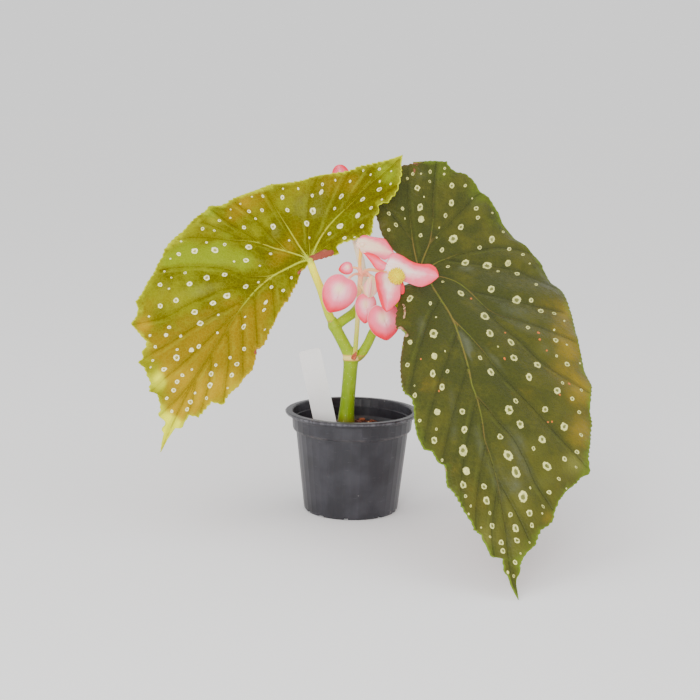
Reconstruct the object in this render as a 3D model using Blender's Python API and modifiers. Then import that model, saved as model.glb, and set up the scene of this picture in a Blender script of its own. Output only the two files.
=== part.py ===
"""A potted cane begonia: two angel-wing leaves and a cluster of pink flowers in a 9 cm nursery pot.

Units are metres, +Z is up. The origin is on the pot's axis, on the surface that the pot stands on.
The leaves and flowers face -Y. Sizes are written in millimetres times MM.
"""

import math
import random

import bmesh
import bpy
import numpy as np
from mathutils import Matrix, Vector, noise

MM = 0.001
GAP = 0.3 * MM                      # clearance kept between pieces that touch
MERGE = 0.0005 * MM                 # points nearer than this are one point
SEED = 7

# Pot: a thin injection-moulded nursery pot
LIP_RADIUS = 45.0 * MM
POT_HEIGHT = 67.8 * MM
LIP_THICKNESS = 2.0 * MM
BAND_RADIUS = 39.8 * MM             # outside of the upright band under the lip
BAND_FOOT = 54.6 * MM               # height of the step under the band
WALL_TOP_RADIUS = 37.6 * MM
FOOT_RADIUS = 31.7 * MM
WALL = 1.2 * MM
LEDGE_HEIGHT = 62.0 * MM            # small stacking ledge inside the band
FLOOR_UNDERSIDE = 1.6 * MM
PAD_RADIUS = 10.0 * MM              # flat pad in the middle of the base
FOOT_RING_INNER = 26.5 * MM
DRAIN_HOLES = 6
DRAIN_RADIUS = 3.0 * MM
DRAIN_CIRCLE = 20.0 * MM
FOOT_NOTCHES = 11
NOTCH_WIDTH = 5.0 * MM
NOTCH_HEIGHT = 1.3 * MM
POT_STEPS = 40

# Potting mix
SOIL_LEVEL = 53.0 * MM
SOIL_ROUGHNESS = 1.3 * MM
BARK_LUMPS = 15
SOIL_RINGS = 5
SOIL_STEPS = 32

# Plant label
LABEL_WIDTH = 15.0 * MM
LABEL_LENGTH = 100.0 * MM
LABEL_THICKNESS = 0.8 * MM
LABEL_POINT = 14.0 * MM             # length of the pointed end
LABEL_FOOT = (-7.0, 7.0, 8.5)         # its buried point, millimetres
LABEL_LEAN = math.radians(13.2)     # to the left
LABEL_TILT = math.radians(4.0)      # to the back

# Cane: the main stem, its left internode and the young shoot. Rows are x, y, z, radius in millimetres.
STEM = [(-5.4, 0, 12, 4.2), (-5.0, 0, 40, 5.2), (-4.4, 0, 54, 6.2), (-4.1, 0, 61, 5.6), (-3.5, 0, 71.5, 4.9),
        (-2.6, 0, 84, 4.8), (-1.9, 0, 95, 4.8), (-1.6, 0, 100.5, 5.1), (-1.6, 0, 103.2, 5.4), (-2.4, 0, 106, 4.9)]
LEFT_INTERNODE = [(-1.6, 0, 102, 4.4), (-4.4, -0.5, 108.5, 4.1), (-8.3, -1.3, 116, 3.9),
                  (-11.8, -2, 122.5, 3.9), (-13.3, -2.3, 125.6, 4.1), (-14.2, -2.6, 128, 3.4)]
SHOOT = [(-12.5, -1.6, 124, 3.4), (-8.6, 0, 127, 3.3), (-4.4, 2.2, 129.8, 3.3), (0.3, 6, 133, 3.3),
         (4.6, 10, 139.6, 3.2), (6.4, 13.5, 150, 2.9), (4.6, 17, 163, 2.6), (0.4, 20, 178, 2.3), (-3, 22, 190, 2.0)]

# Leaf stalks, from the cane to the middle of each leaf's joint
RIGHT_STALK = [(-1.2, 0, 101.5, 3.2), (2.6, 0, 103.6, 3.4), (6.2, -0.3, 107.2, 3.3), (9.6, -1, 113.3, 3.1),
               (13.4, -3, 121.8, 3.1), (21.8, -7, 133.4, 3.0), (32.6, -11, 147.0, 2.8), (41.8, -14.4, 156.6, 2.7),
               (46.8, -16, 160.6, 2.9)]
LEFT_STALK = [(-13.6, -2.4, 125.5, 2.9), (-15.6, -3.4, 130, 2.9), (-17.8, -5, 135.6, 2.8),
              (-21.9, -10, 149.3, 2.7), (-24.6, -12.8, 156.4, 2.6), (-27.2, -15.2, 163.2, 2.6),
              (-29.3, -17, 169.5, 2.8)]
JOINT_RADIUS = 3.3 * MM             # knot where a stalk meets its blade

# Leaves. Each is drawn flat, in millimetres: along its midrib from the joint, and across it.
BLADE = 0.8 * MM
LEAF_STATIONS = 46                  # steps from the joint to the tip
LEAF_LOBE_STATIONS = 26             # steps from the end of the lobe to the joint
LEAF_BANDS = 3
TOOTH = 1.1                         # millimetres, every second step
VEIN_TOOTH = 2.4                    # larger points where side veins end
VEIN_TOOTH_PITCH = 23.0
MARGIN_WAVE = 1.4
MARGIN_WAVE_PITCH = 47.0
# Each line runs from the end of the lobe to the tip, with the index of its point abreast of the joint.
RIGHT_LEAF = {
    "joint": (46.8, -16.0, 160.6),
    "tip": (94.0, -185.9, 1.0),
    "across": (1.0, 0.25, 0.0),
    "arch": 15.0,                   # rise of the midrib between joint and tip
    "cup": 0.0052,                  # how fast the lobe turns up behind the joint
    "droop": 0.0018,                # how fast the blade falls away on both sides of the midrib
    "midrib": ([(-87, 6), (-50, 4), (0, 0), (39, 6), (97, 4), (144, 0), (238, 0)], 2),
    "narrow": ([(-87, 6), (-82, -6), (-68, -15), (-51, -24), (-27, -17), (-2, -3), (10, -17), (28, -26), (45, -31),
                (71, -35), (100, -39), (123, -38), (154, -29), (182, -23), (202, -14), (220, -5), (238, 0)], 5),
    "broad": ([(-87, 6), (-87, 28), (-73, 52), (-54, 69), (-19, 91), (1, 95), (38, 96), (92, 87), (127, 76),
               (161, 62), (177, 42), (202, 19), (223, 5), (238, 0)], 5),
}
LEFT_LEAF = {
    "joint": (-29.3, -17.0, 169.5),
    "tip": (-119.0, -75.0, 55.0),
    "across": (-0.75, 0.25, 0.66),
    "arch": 13.0,
    "cup": 0.0058,
    "droop": 0.0018,
    "midrib": ([(-90, -8), (-45, 4), (0, 0), (19, 6), (37, 11), (55, 11), (100, 8), (157, 0)], 2),
    "narrow": ([(-90, -8), (-74, -18), (-57, -15), (-41, -20), (-28, -13), (-17, -12), (-7, -6.5), (-1, -2.5), (10, -1.5),
                (27, -3), (54, -9), (75, -12), (95, -16), (111, -13), (127, -6), (143, -2), (157, 0)], 7),
    "broad": ([(-90, -8), (-71, 11), (-56, 29), (-30, 55), (-5, 69), (18, 80), (52, 80), (80, 75), (104, 61),
               (121, 43), (140, 14), (157, 0)], 4),
}

# Flower stalks. Rows are x, y, z, radius in millimetres.
PEDUNCLE = [(0.6, -3.6, 104.4, 1.9), (1.1, -5.6, 108, 1.6), (1.8, -7.2, 119.5, 1.5), (2.3, -8.4, 130, 1.5),
            (3.0, -10, 146.5, 1.5), (3.8, -12, 160.6, 1.7)]
PEDICELS = {
    "left_bud": [(3.6, -12, 160.0, 1.2), (0.4, -18.4, 161.4, 0.9), (-3.4, -22.6, 159.4, 0.9),
                 (-5.8, -23.4, 156.2, 0.9)],
    "small_bud": [(3.8, -12, 161.0, 1.2), (1.2, -13.6, 164.6, 0.8), (-3.4, -14.5, 165.0, 0.8)],
    "middle_bud": [(3.2, -11, 153.6, 1.1), (4.6, -14.6, 152.6, 0.9), (6.8, -16.2, 149.2, 0.9),
                   (7.4, -16.5, 145.6, 0.9)],
    "right_bud": [(3.8, -12, 160.4, 1.3), (11.4, -8.4, 158.6, 1.1), (17.8, -13.0, 151.4, 1.0),
                  (19.4, -22.0, 144.6, 1.0), (19.2, -25.6, 138.4, 1.1)],
    "open_flower": [(3.8, -12, 160.8, 1.3), (9.0, -21.4, 164.6, 1.1), (16.4, -31.2, 164.8, 1.1),
                    (22.8, -36.4, 163.8, 1.2)],
    "seed_pod": [(3.8, -12, 160.2, 1.1), (7.6, -16.6, 162.2, 0.9), (10.2, -19, 160.4, 0.9)],
    "back_flower": [(3.8, -12, 160.8, 1.3), (3.1, -13.4, 168.5, 1.1), (3.9, -15.4, 178.6, 1.2)],
}
REAR_STALK = [(-2.6, 21.8, 188.0, 1.4), (-4.6, 23, 197, 1.3), (-8.0, 25, 212.0, 1.3)]

# Closed buds: middle, direction from notch to tip, direction that the flat side faces; sizes in millimetres.
BUDS = {
    "left_bud": {"centre": (-9.8, -23.5, 148.4), "tip": (-0.46, -0.02, -0.88), "face": (0.10, -0.98, 0.15),
                 "length": 25.0, "width": 24.0, "thickness": 9.0},
    "small_bud": {"centre": (-6.0, -14.6, 164.4), "tip": (-0.97, -0.05, -0.22), "face": (0.0, -0.98, 0.2),
                  "length": 9.4, "width": 8.6, "thickness": 5.0},
    "middle_bud": {"centre": (7.4, -16.6, 138.8), "tip": (-0.04, -0.05, -0.99), "face": (0.2, -0.97, 0.05),
                   "length": 19.5, "width": 14.5, "thickness": 6.5},
    "right_bud": {"centre": (19.6, -26.0, 131.6), "tip": (0.15, 0.0, -0.98), "face": (0.12, -0.98, 0.0),
                  "length": 24.0, "width": 22.0, "thickness": 9.0},
}
BUD_SEGMENTS = 20
BUD_RINGS = 8

# Tepals: root, tip, direction that the inner face looks, width, cup depth and bend in millimetres,
# then how fast the blade widens from its root and narrows to its tip.
OPEN_TEPALS = [
    ((26.0, -38.0, 163.4), (52.2, -43.0, 165.6), (0.05, -1.0, 0.15), 15.0, 2.2, 1.5, (0.42, 0.36)),
    ((26.0, -38.0, 162.6), (20.4, -56.0, 142.4), (0.15, -1.0, -0.05), 14.4, 2.0, 1.5, (0.36, 0.62)),
    ((25.0, -38.0, 164.2), (6.4, -35.5, 176.2), (-0.15, -0.75, -0.55), 8.6, 1.6, -1.0, (0.5, 0.5)),
    ((26.6, -38.2, 162.6), (31.2, -41.0, 153.0), (0.2, -1.0, 0.0), 7.0, 1.0, 1.0, (0.5, 0.5)),
]
OPEN_HUB = (25.8, -37.6, 163.4, 3.4)
STAMEN_CENTRE = (26.3, -44.2, 163.5)
STAMEN_RADIUS = 5.4
STAMEN_LUMPS = 26
BACK_TEPALS = [
    ((5.0, -16.6, 181.0), (12.4, -19.0, 186.4), (0.1, -1.0, 0.1), 11.0, 1.2, 1.0, (0.4, 0.5)),
    ((5.4, -16.6, 180.4), (23.6, -19.6, 177.4), (0.0, -1.0, 0.2), 14.0, 2.0, 1.5, (0.4, 0.5)),
    ((4.6, -16.4, 180.0), (9.6, -21.5, 170.6), (0.2, -0.9, 0.3), 8.5, 1.2, 1.0, (0.5, 0.5)),
]
BACK_HUB = (4.6, -16.4, 180.4, 2.0)
REAR_TEPALS = [
    ((-8.6, 26.2, 214.0), (-12.0, 24.6, 229.4), (0.0, 1.0, 0.1), 12.0, 1.8, 1.0, (0.45, 0.5)),
    ((-9.0, 26.2, 213.6), (-25.0, 32.0, 206.0), (0.0, 1.0, -0.1), 13.0, 1.8, 1.0, (0.45, 0.5)),
    ((-8.2, 26.2, 213.4), (4.0, 32.0, 202.0), (0.1, 1.0, 0.0), 13.0, 1.8, 1.0, (0.45, 0.5)),
]
REAR_HUB = (-8.6, 25.8, 213.6, 2.4)
TEPAL_THICKNESS = 0.9 * MM
TEPAL_STEPS = 7
TEPAL_ACROSS = 4

# Seed pod: a spindle with three wings
POD_CENTRE = (10.4, -19.4, 153.4)
POD_LENGTH = 13.4
POD_RADIUS = 2.1
POD_WING = 4.6

# Red bract at the fork
BRACT = ((-0.6, -6.3, 102.8), (2.2, -8.7, 109.2), (-0.25, -0.93, -0.25), 4.2, 0.5, 0.3, (0.4, 0.8))

COLOURS = {
    "pot": ((0.045, 0.044, 0.05), 0.42),
    "soil": ((0.09, 0.035, 0.016), 0.95),
    "plant_label": ((0.9, 0.9, 0.9), 0.4),
    "cane": ((0.22, 0.34, 0.03), 0.45),
    "leaf_stalk_left": ((0.34, 0.42, 0.06), 0.45),
    "leaf_stalk_right": ((0.16, 0.25, 0.03), 0.45),
    "leaf_left": ((0.30, 0.28, 0.03), 0.45),
    "leaf_right": ((0.07, 0.085, 0.02), 0.4),
    "flower_stalk": ((0.55, 0.5, 0.14), 0.5),
    "rear_flower_stalk": ((0.6, 0.35, 0.22), 0.5),
    "left_bud": ((0.85, 0.3, 0.33), 0.45),
    "small_bud": ((0.9, 0.5, 0.52), 0.45),
    "middle_bud": ((0.9, 0.5, 0.52), 0.45),
    "right_bud": ((0.85, 0.28, 0.31), 0.45),
    "open_flower_tepals": ((0.86, 0.27, 0.3), 0.45),
    "open_flower_stamens": ((0.9, 0.8, 0.05), 0.6),
    "back_flower": ((0.9, 0.62, 0.58), 0.45),
    "rear_flower": ((0.88, 0.4, 0.42), 0.45),
    "seed_pod": ((0.85, 0.6, 0.5), 0.5),
    "bract": ((0.42, 0.09, 0.04), 0.6),
}


def make_collection(name):
    collection = bpy.data.collections.new(name)
    bpy.context.scene.collection.children.link(collection)
    return collection


def clear_scene():
    for obj in list(bpy.data.objects):
        bpy.data.objects.remove(obj, do_unlink=True)
    for collection in list(bpy.data.collections):
        bpy.data.collections.remove(collection)


def finish(obj, name):
    """Name a piece, give it its own material and shade its round sides smooth."""
    colour, roughness = COLOURS[name]
    material = bpy.data.materials.new(name)
    material.use_nodes = True
    shader = material.node_tree.nodes["Principled BSDF"]
    shader.inputs["Base Color"].default_value = (*colour, 1.0)
    shader.inputs["Roughness"].default_value = roughness
    obj.name = name
    obj.data.name = name
    obj.data.materials.clear()
    obj.data.materials.append(material)
    obj.data.shade_smooth()
    obj.data.set_sharp_from_angle(angle=math.radians(35))
    return obj


def new_object(name, mesh, collection):
    obj = bpy.data.objects.new(name, mesh)
    collection.objects.link(obj)
    return obj


def from_bmesh(name, bm, collection):
    mesh = bpy.data.meshes.new(name)
    bm.to_mesh(mesh)
    bm.free()
    return new_object(name, mesh, collection)


def apply_modifiers(obj):
    """Replace an object's mesh with its evaluated one."""
    bpy.context.view_layer.update()
    evaluated = obj.evaluated_get(bpy.context.evaluated_depsgraph_get())
    mesh = bpy.data.meshes.new_from_object(evaluated)
    obj.modifiers.clear()
    obj.data = mesh


def tidy_mesh(obj):
    """Merge points that a Boolean leaves in the same place."""
    bm = bmesh.new()
    bm.from_mesh(obj.data)
    bmesh.ops.remove_doubles(bm, verts=bm.verts, dist=MERGE)
    bm.to_mesh(obj.data)
    bm.free()


def boolean(obj, others, operation):
    """Join or cut an object with a list of helper objects, apply that, and remove the helpers."""
    helpers = make_collection("helpers")
    for other in others:
        for owner in list(other.users_collection):
            owner.objects.unlink(other)
        helpers.objects.link(other)
    modifier = obj.modifiers.new(operation.lower(), "BOOLEAN")
    modifier.operation = operation
    modifier.solver = "EXACT"
    modifier.operand_type = "COLLECTION"
    modifier.collection = helpers
    apply_modifiers(obj)
    tidy_mesh(obj)
    for other in others:
        bpy.data.objects.remove(other, do_unlink=True)
    bpy.data.collections.remove(helpers)
    return obj


def curve_through(points, steps):
    """Catmull-Rom curve through the rows of points, with a number of steps for each span."""
    rows = np.array(points, float)
    padded = np.vstack([2 * rows[0] - rows[1], rows, 2 * rows[-1] - rows[-2]])
    t = np.linspace(0, 1, steps, endpoint=False)[:, None]
    spans = []
    for p0, p1, p2, p3 in zip(padded, padded[1:], padded[2:], padded[3:]):
        spans.append(0.5 * (2 * p1 + (p2 - p0) * t + (2 * p0 - 5 * p1 + 4 * p2 - p3) * t ** 2
                            + (3 * p1 - p0 - 3 * p2 + p3) * t ** 3))
    return np.vstack(spans + [rows[-1:]])


def evenly_spaced(points, count):
    """Points at equal distances along a line of points."""
    lengths = np.concatenate([[0], np.cumsum(np.linalg.norm(np.diff(points, axis=0), axis=1))])
    wanted = np.linspace(0, lengths[-1], count)
    return np.column_stack([np.interp(wanted, lengths, column) for column in points.T])


def tube(name, rows, collection, grow=0.0, steps=2, resolution=3):
    """A round stalk through rows of x, y, z, radius in millimetres. grow fattens and lengthens it, in metres."""
    line = curve_through(rows, steps)
    if grow:
        extra = grow / MM
        for end, inner in ((0, 1), (-1, -2)):
            away = line[end, :3] - line[inner, :3]
            line[end, :3] += away / np.linalg.norm(away) * extra
        line[:, 3] += extra
    curve = bpy.data.curves.new(name, "CURVE")
    curve.dimensions = "3D"
    curve.bevel_depth = MM
    curve.bevel_resolution = resolution
    curve.use_fill_caps = True
    spline = curve.splines.new("POLY")
    spline.points.add(len(line) - 1)
    for point, (x, y, z, radius) in zip(spline.points, line):
        point.co = (x * MM, y * MM, z * MM, 1.0)
        point.radius = radius
    obj = new_object(name, curve, collection)
    bpy.context.view_layer.update()
    evaluated = obj.evaluated_get(bpy.context.evaluated_depsgraph_get())
    bm = bmesh.new()
    bm.from_mesh(bpy.data.meshes.new_from_object(evaluated))
    bmesh.ops.remove_doubles(bm, verts=bm.verts, dist=0.005 * MM)
    bmesh.ops.recalc_face_normals(bm, faces=bm.faces)
    bpy.data.objects.remove(obj, do_unlink=True)
    return from_bmesh(name, bm, collection)


def ball(name, centre, radius, collection, segments=12, rings=8):
    """A sphere; centre and radius in millimetres."""
    bm = bmesh.new()
    bmesh.ops.create_uvsphere(bm, u_segments=segments, v_segments=rings, radius=radius * MM)
    bmesh.ops.translate(bm, verts=bm.verts, vec=Vector(centre) * MM)
    return from_bmesh(name, bm, collection)


def turned(name, profile, steps, collection):
    """A profile of radius, height turned about Z by a Screw modifier."""
    bm = bmesh.new()
    verts = [bm.verts.new((radius, 0.0, height)) for radius, height in profile]
    for first, second in zip(verts, verts[1:]):
        bm.edges.new((first, second))
    obj = from_bmesh(name, bm, collection)
    screw = obj.modifiers.new("turn", "SCREW")
    screw.axis = "Z"
    screw.steps = steps
    screw.render_steps = steps
    screw.use_merge_vertices = True
    screw.merge_threshold = 0.00001
    weld = obj.modifiers.new("close", "WELD")
    weld.merge_threshold = 0.00001
    return obj


def pot_profile():
    """The pot's section, from the middle of its floor up the inside, over the lip and down the outside."""
    floor_top = FLOOR_UNDERSIDE + WALL
    wall_slope = (WALL_TOP_RADIUS - FOOT_RADIUS) / (BAND_FOOT - 1.5 * MM)
    lip_inner = BAND_RADIUS + 0.2 * MM
    return [
        (0.0, floor_top),
        (FOOT_RADIUS - 2.6 * MM, floor_top),
        (FOOT_RADIUS - WALL + wall_slope * 2 * MM, floor_top + 1.4 * MM),
        (WALL_TOP_RADIUS - WALL - 0.1 * MM, BAND_FOOT - 1.0 * MM),
        (BAND_RADIUS - WALL - 0.2 * MM, BAND_FOOT + 1.2 * MM),
        (BAND_RADIUS - WALL, LEDGE_HEIGHT - 0.4 * MM),
        (BAND_RADIUS - 0.5 * MM, LEDGE_HEIGHT),
        (lip_inner, POT_HEIGHT - 0.9 * MM),
        (lip_inner + 0.7 * MM, POT_HEIGHT),
        (LIP_RADIUS - 0.9 * MM, POT_HEIGHT - 0.1 * MM),
        (LIP_RADIUS, POT_HEIGHT - 0.9 * MM),
        (LIP_RADIUS - 0.4 * MM, POT_HEIGHT - LIP_THICKNESS),
        (LIP_RADIUS - 1.4 * MM, POT_HEIGHT - LIP_THICKNESS - 0.2 * MM),
        (BAND_RADIUS + 1.6 * MM, POT_HEIGHT - LIP_THICKNESS - 1.0 * MM),
        (BAND_RADIUS + 0.6 * MM, POT_HEIGHT - LIP_THICKNESS - 2.4 * MM),
        (BAND_RADIUS, BAND_FOOT + 1.6 * MM),
        (BAND_RADIUS - 0.6 * MM, BAND_FOOT + 0.3 * MM),
        (WALL_TOP_RADIUS, BAND_FOOT - 0.4 * MM),
        (FOOT_RADIUS, 1.5 * MM),
        (FOOT_RADIUS - 0.9 * MM, 0.0),
        (FOOT_RING_INNER, 0.0),
        (FOOT_RING_INNER - 0.6 * MM, FLOOR_UNDERSIDE),
        (PAD_RADIUS + 1.0 * MM, FLOOR_UNDERSIDE),
        (PAD_RADIUS, 0.0),
        (0.0, 0.0),
    ]


def foot_notches(collection):
    """Blocks that cut the foot ring into uneven feet."""
    draw = random.Random(SEED)
    blocks = []
    for index in range(FOOT_NOTCHES):
        angle = 2 * math.pi * (index + 0.5 * draw.random()) / FOOT_NOTCHES
        bm = bmesh.new()
        bmesh.ops.create_cube(bm, size=1.0)
        obj = from_bmesh("notch", bm, collection)
        width = NOTCH_WIDTH * (0.5 + 0.6 * draw.random())
        height = NOTCH_HEIGHT * (0.7 + 0.5 * draw.random())
        length = FOOT_RADIUS - FOOT_RING_INNER + 4 * MM
        middle = (FOOT_RADIUS + FOOT_RING_INNER) / 2
        obj.matrix_world = (Matrix.Rotation(angle, 4, "Z") @ Matrix.Translation((middle, 0, 0))
                            @ Matrix.Diagonal((length, width, 2 * height, 1)))
        blocks.append(obj)
    return blocks


def drain_holes(collection):
    """Upright rods that cut the drain holes in the floor."""
    rods = []
    for index in range(DRAIN_HOLES):
        angle = 2 * math.pi * (index + 0.5) / DRAIN_HOLES
        bm = bmesh.new()
        bmesh.ops.create_cone(bm, cap_ends=True, segments=10, radius1=DRAIN_RADIUS, radius2=DRAIN_RADIUS,
                              depth=10 * MM)
        bmesh.ops.translate(bm, verts=bm.verts,
                            vec=(DRAIN_CIRCLE * math.cos(angle), DRAIN_CIRCLE * math.sin(angle), 0))
        rods.append(from_bmesh("drain", bm, collection))
    return rods


def make_pot(parts):
    pot = turned("pot", pot_profile(), POT_STEPS, parts)
    apply_modifiers(pot)
    boolean(pot, foot_notches(parts) + drain_holes(parts), "DIFFERENCE")
    finish(pot, "pot")


def inner_radius(height):
    """The pot's inside radius at a height."""
    low, high = FLOOR_UNDERSIDE + WALL, BAND_FOOT - 1.0 * MM
    low_radius = FOOT_RADIUS - WALL
    high_radius = WALL_TOP_RADIUS - WALL - 0.1 * MM
    return low_radius + (high_radius - low_radius) * (height - low) / (high - low)


def soil_profile():
    bottom = FLOOR_UNDERSIDE + WALL + GAP
    rim = [(inner_radius(SOIL_LEVEL) - 2 * GAP, SOIL_LEVEL), (inner_radius(bottom) - 2.4 * MM, bottom + 1.6 * MM),
           (inner_radius(bottom) - 4 * MM, bottom), (0.0, bottom)]
    top = [(rim[0][0] * ring / SOIL_RINGS, SOIL_LEVEL) for ring in range(SOIL_RINGS)]
    return top + rim


def make_soil(parts):
    """A plug of potting mix with a rough top, bark lumps fused in, and plain holes for cane and label."""
    soil = turned("soil", soil_profile(), SOIL_STEPS, parts)
    apply_modifiers(soil)
    for vertex in soil.data.vertices:
        reach = math.hypot(vertex.co.x, vertex.co.y)
        if vertex.co.z > SOIL_LEVEL - 1 * MM and reach < inner_radius(SOIL_LEVEL) - 1.5 * MM:
            vertex.co.z += SOIL_ROUGHNESS * noise.noise(vertex.co / (7 * MM))
            vertex.co.z += 0.8 * MM * (1 - reach / WALL_TOP_RADIUS)
    draw = random.Random(SEED)
    lumps = []
    for index in range(BARK_LUMPS):
        angle = 2 * math.pi * (index * 0.618 + 0.07 * draw.random())
        reach = (10 + 19 * math.sqrt((index + 0.5) / BARK_LUMPS)) * MM
        bm = bmesh.new()
        bmesh.ops.create_icosphere(bm, subdivisions=1, radius=1.0)
        obj = from_bmesh("bark", bm, parts)
        size = [draw.uniform(1.7, 3.4) * MM, draw.uniform(1.2, 2.2) * MM, draw.uniform(1.0, 1.7) * MM]
        place = Vector((reach * math.cos(angle), reach * math.sin(angle), SOIL_LEVEL + 0.5 * MM))
        turn = Matrix.Rotation(draw.uniform(0, math.pi), 4, "Z") @ Matrix.Rotation(draw.uniform(-0.4, 0.4), 4, "X")
        obj.matrix_world = Matrix.Translation(place) @ turn @ Matrix.Diagonal((*size, 1))
        lumps.append(obj)
    boolean(soil, lumps, "UNION")
    stem_hole = tube("stem_hole", STEM, parts, grow=GAP, resolution=4)
    boolean(soil, [stem_hole, label_solid("label_hole", parts, GAP)], "DIFFERENCE")
    finish(soil, "soil")


def label_solid(name, parts, grow=0.0):
    """The label's outline, pointed at its foot, extruded and leaned into place."""
    half = LABEL_WIDTH / 2 + grow
    corner = 2.0 * MM
    top = LABEL_LENGTH
    outline = [(-1.5 * MM - grow, -grow), (1.5 * MM + grow, -grow), (half, LABEL_POINT), (half, top - corner),
               (half - 0.6 * MM, top - 0.6 * MM), (half - corner, top), (corner - half, top),
               (0.6 * MM - half, top - 0.6 * MM), (-half, top - corner), (-half, LABEL_POINT)]
    thickness = LABEL_THICKNESS + 2 * grow
    bm = bmesh.new()
    face = bm.faces.new([bm.verts.new((x, -thickness / 2, z)) for x, z in outline])
    moved = bmesh.ops.extrude_face_region(bm, geom=[face])["geom"]
    bmesh.ops.translate(bm, verts=[v for v in moved if isinstance(v, bmesh.types.BMVert)], vec=(0, thickness, 0))
    bmesh.ops.recalc_face_normals(bm, faces=bm.faces)
    obj = from_bmesh(name, bm, parts)
    lean = Matrix.Rotation(-LABEL_LEAN, 4, "Y") @ Matrix.Rotation(-LABEL_TILT, 4, "X")
    obj.matrix_world = Matrix.Translation(Vector(LABEL_FOOT) * MM) @ lean
    return obj


def cane_tubes(parts, grow=0.0):
    return [tube("cane_tube", rows, parts, grow=grow, resolution=4)
            for rows in (STEM, LEFT_INTERNODE, SHOOT)]


def make_cane(parts):
    stem, internode, shoot = cane_tubes(parts)
    finish(boolean(stem, [internode, shoot], "UNION"), "cane")


def make_leaf_stalk(parts, name, rows):
    """A leaf stalk with the knot that carries the blade, cut back from the cane."""
    stalk = tube(name, rows, parts)
    knot = ball("knot", rows[-1][:3], JOINT_RADIUS / MM, parts)
    boolean(stalk, [knot], "UNION")
    boolean(stalk, cane_tubes(parts, GAP), "DIFFERENCE")
    finish(stalk, name)


def leaf_axes(leaf):
    """The leaf's joint, its directions along, across and out of the blade, and its length, in millimetres."""
    joint = Vector(leaf["joint"])
    along = Vector(leaf["tip"]) - joint
    length = along.length
    along.normalize()
    across = Vector(leaf["across"])
    across = (across - across.dot(along) * along).normalized()
    out = along.cross(across)
    if out.y > 0:
        out = -out
    return joint, along, across, out, length


def bend(leaf, a, b, length):
    """Height of the blade over its flat plane: arched to the tip, cupped at the lobe, drooping at the sides."""
    rise = 4 * leaf["arch"] / length
    front = rise * a * (1 - a / length)
    back = rise * a + leaf["cup"] * a ** 2
    return np.where(a >= 0, front, back) - leaf["droop"] * b ** 2


def stations(line):
    """Points along one line of a leaf: evenly from the lobe to the joint, then evenly from there to the tip."""
    points, abreast = line
    steps = 12
    smooth = curve_through(points, steps)
    lobe = evenly_spaced(smooth[:abreast * steps + 1], LEAF_LOBE_STATIONS + 1)
    blade = evenly_spaced(smooth[abreast * steps:], LEAF_STATIONS + 1)
    return np.vstack([lobe, blade[1:]])


def toothed(edge, spine, run):
    """Push every second point of an edge out as a tooth, with a larger point where each side vein ends."""
    out = edge - spine
    reach = np.linalg.norm(out, axis=1)
    out = out / np.maximum(reach, 1.0)[:, None]
    index = np.arange(len(edge))
    swing = 1 - np.abs(2 * (run / VEIN_TOOTH_PITCH % 1.0) - 1)
    calm = np.clip(np.minimum(index, len(edge) - 1 - index) / 3, 0, 1) * np.clip(reach / 12, 0, 1)
    return edge + out * ((TOOTH * (index % 2) + VEIN_TOOTH * (swing ** 2 - 0.3)) * calm)[:, None]


def leaf_side(spine, edge, leaf, axes):
    """Points of one side of a blade: straight lines from the midrib to the toothed edge, bent into shape."""
    joint, along, across, out, length = axes
    run = np.concatenate([[0], np.cumsum(np.linalg.norm(np.diff(edge, axis=0), axis=1))])
    edge = toothed(edge, spine, run)
    s = np.linspace(0, 1, LEAF_BANDS + 1)[None, :, None]
    flat = spine[:, None, :] * (1 - s) + edge[:, None, :] * s
    a, b = flat[..., 0], flat[..., 1]
    calm = np.clip(np.linalg.norm(edge - spine, axis=1) / 25, 0, 1)
    wave = MARGIN_WAVE * np.sin(2 * np.pi * run / MARGIN_WAVE_PITCH) * calm
    height = bend(leaf, a, b, length) + wave[:, None] * s[..., 0] ** 2
    return np.array(joint) + np.stack([a, b, height], axis=-1) @ np.array([along, across, out])


def grid_faces(bm, points):
    """Add a grid of points to a bmesh as quads."""
    rows, columns = points.shape[:2]
    verts = [[bm.verts.new(points[i, j] * MM) for j in range(columns)] for i in range(rows)]
    for i in range(rows - 1):
        for j in range(columns - 1):
            bm.faces.new((verts[i][j], verts[i + 1][j], verts[i + 1][j + 1], verts[i][j + 1]))


def leaf_surface(leaf):
    """The blade's middle surface: its narrow side and its broad side, joined along the midrib."""
    axes = leaf_axes(leaf)
    bm = bmesh.new()
    midrib = stations(leaf["midrib"])
    for side in ("narrow", "broad"):
        grid_faces(bm, leaf_side(midrib, stations(leaf[side]), leaf, axes))
    bmesh.ops.remove_doubles(bm, verts=bm.verts, dist=0.05 * MM)
    bmesh.ops.recalc_face_normals(bm, faces=bm.faces)
    bmesh.ops.triangulate(bm, faces=bm.faces)
    return bm


def make_leaf(parts, name, leaf, stalk_rows):
    """A thin blade cut away round the knot and the stalk that carry it."""
    obj = from_bmesh(name, leaf_surface(leaf), parts)
    solid = obj.modifiers.new("blade", "SOLIDIFY")
    solid.thickness = BLADE
    solid.offset = 0.0
    apply_modifiers(obj)
    stalk = tube("stalk_space", stalk_rows, parts, grow=GAP)
    knot = ball("knot_space", stalk_rows[-1][:3], (JOINT_RADIUS + GAP) / MM, parts)
    boolean(obj, [stalk, knot], "DIFFERENCE")
    finish(obj, name)


def stalk_tubes(parts, grow=0.0):
    rows = [PEDUNCLE] + list(PEDICELS.values())
    return [tube("stalk_tube", points, parts, grow=grow, steps=2, resolution=2) for points in rows]


def make_flower_stalk(parts):
    """The branching stalk of the main cluster, cut back from the cane."""
    first, *others = stalk_tubes(parts)
    boolean(first, others, "UNION")
    boolean(first, cane_tubes(parts, GAP), "DIFFERENCE")
    finish(first, "flower_stalk")


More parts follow.
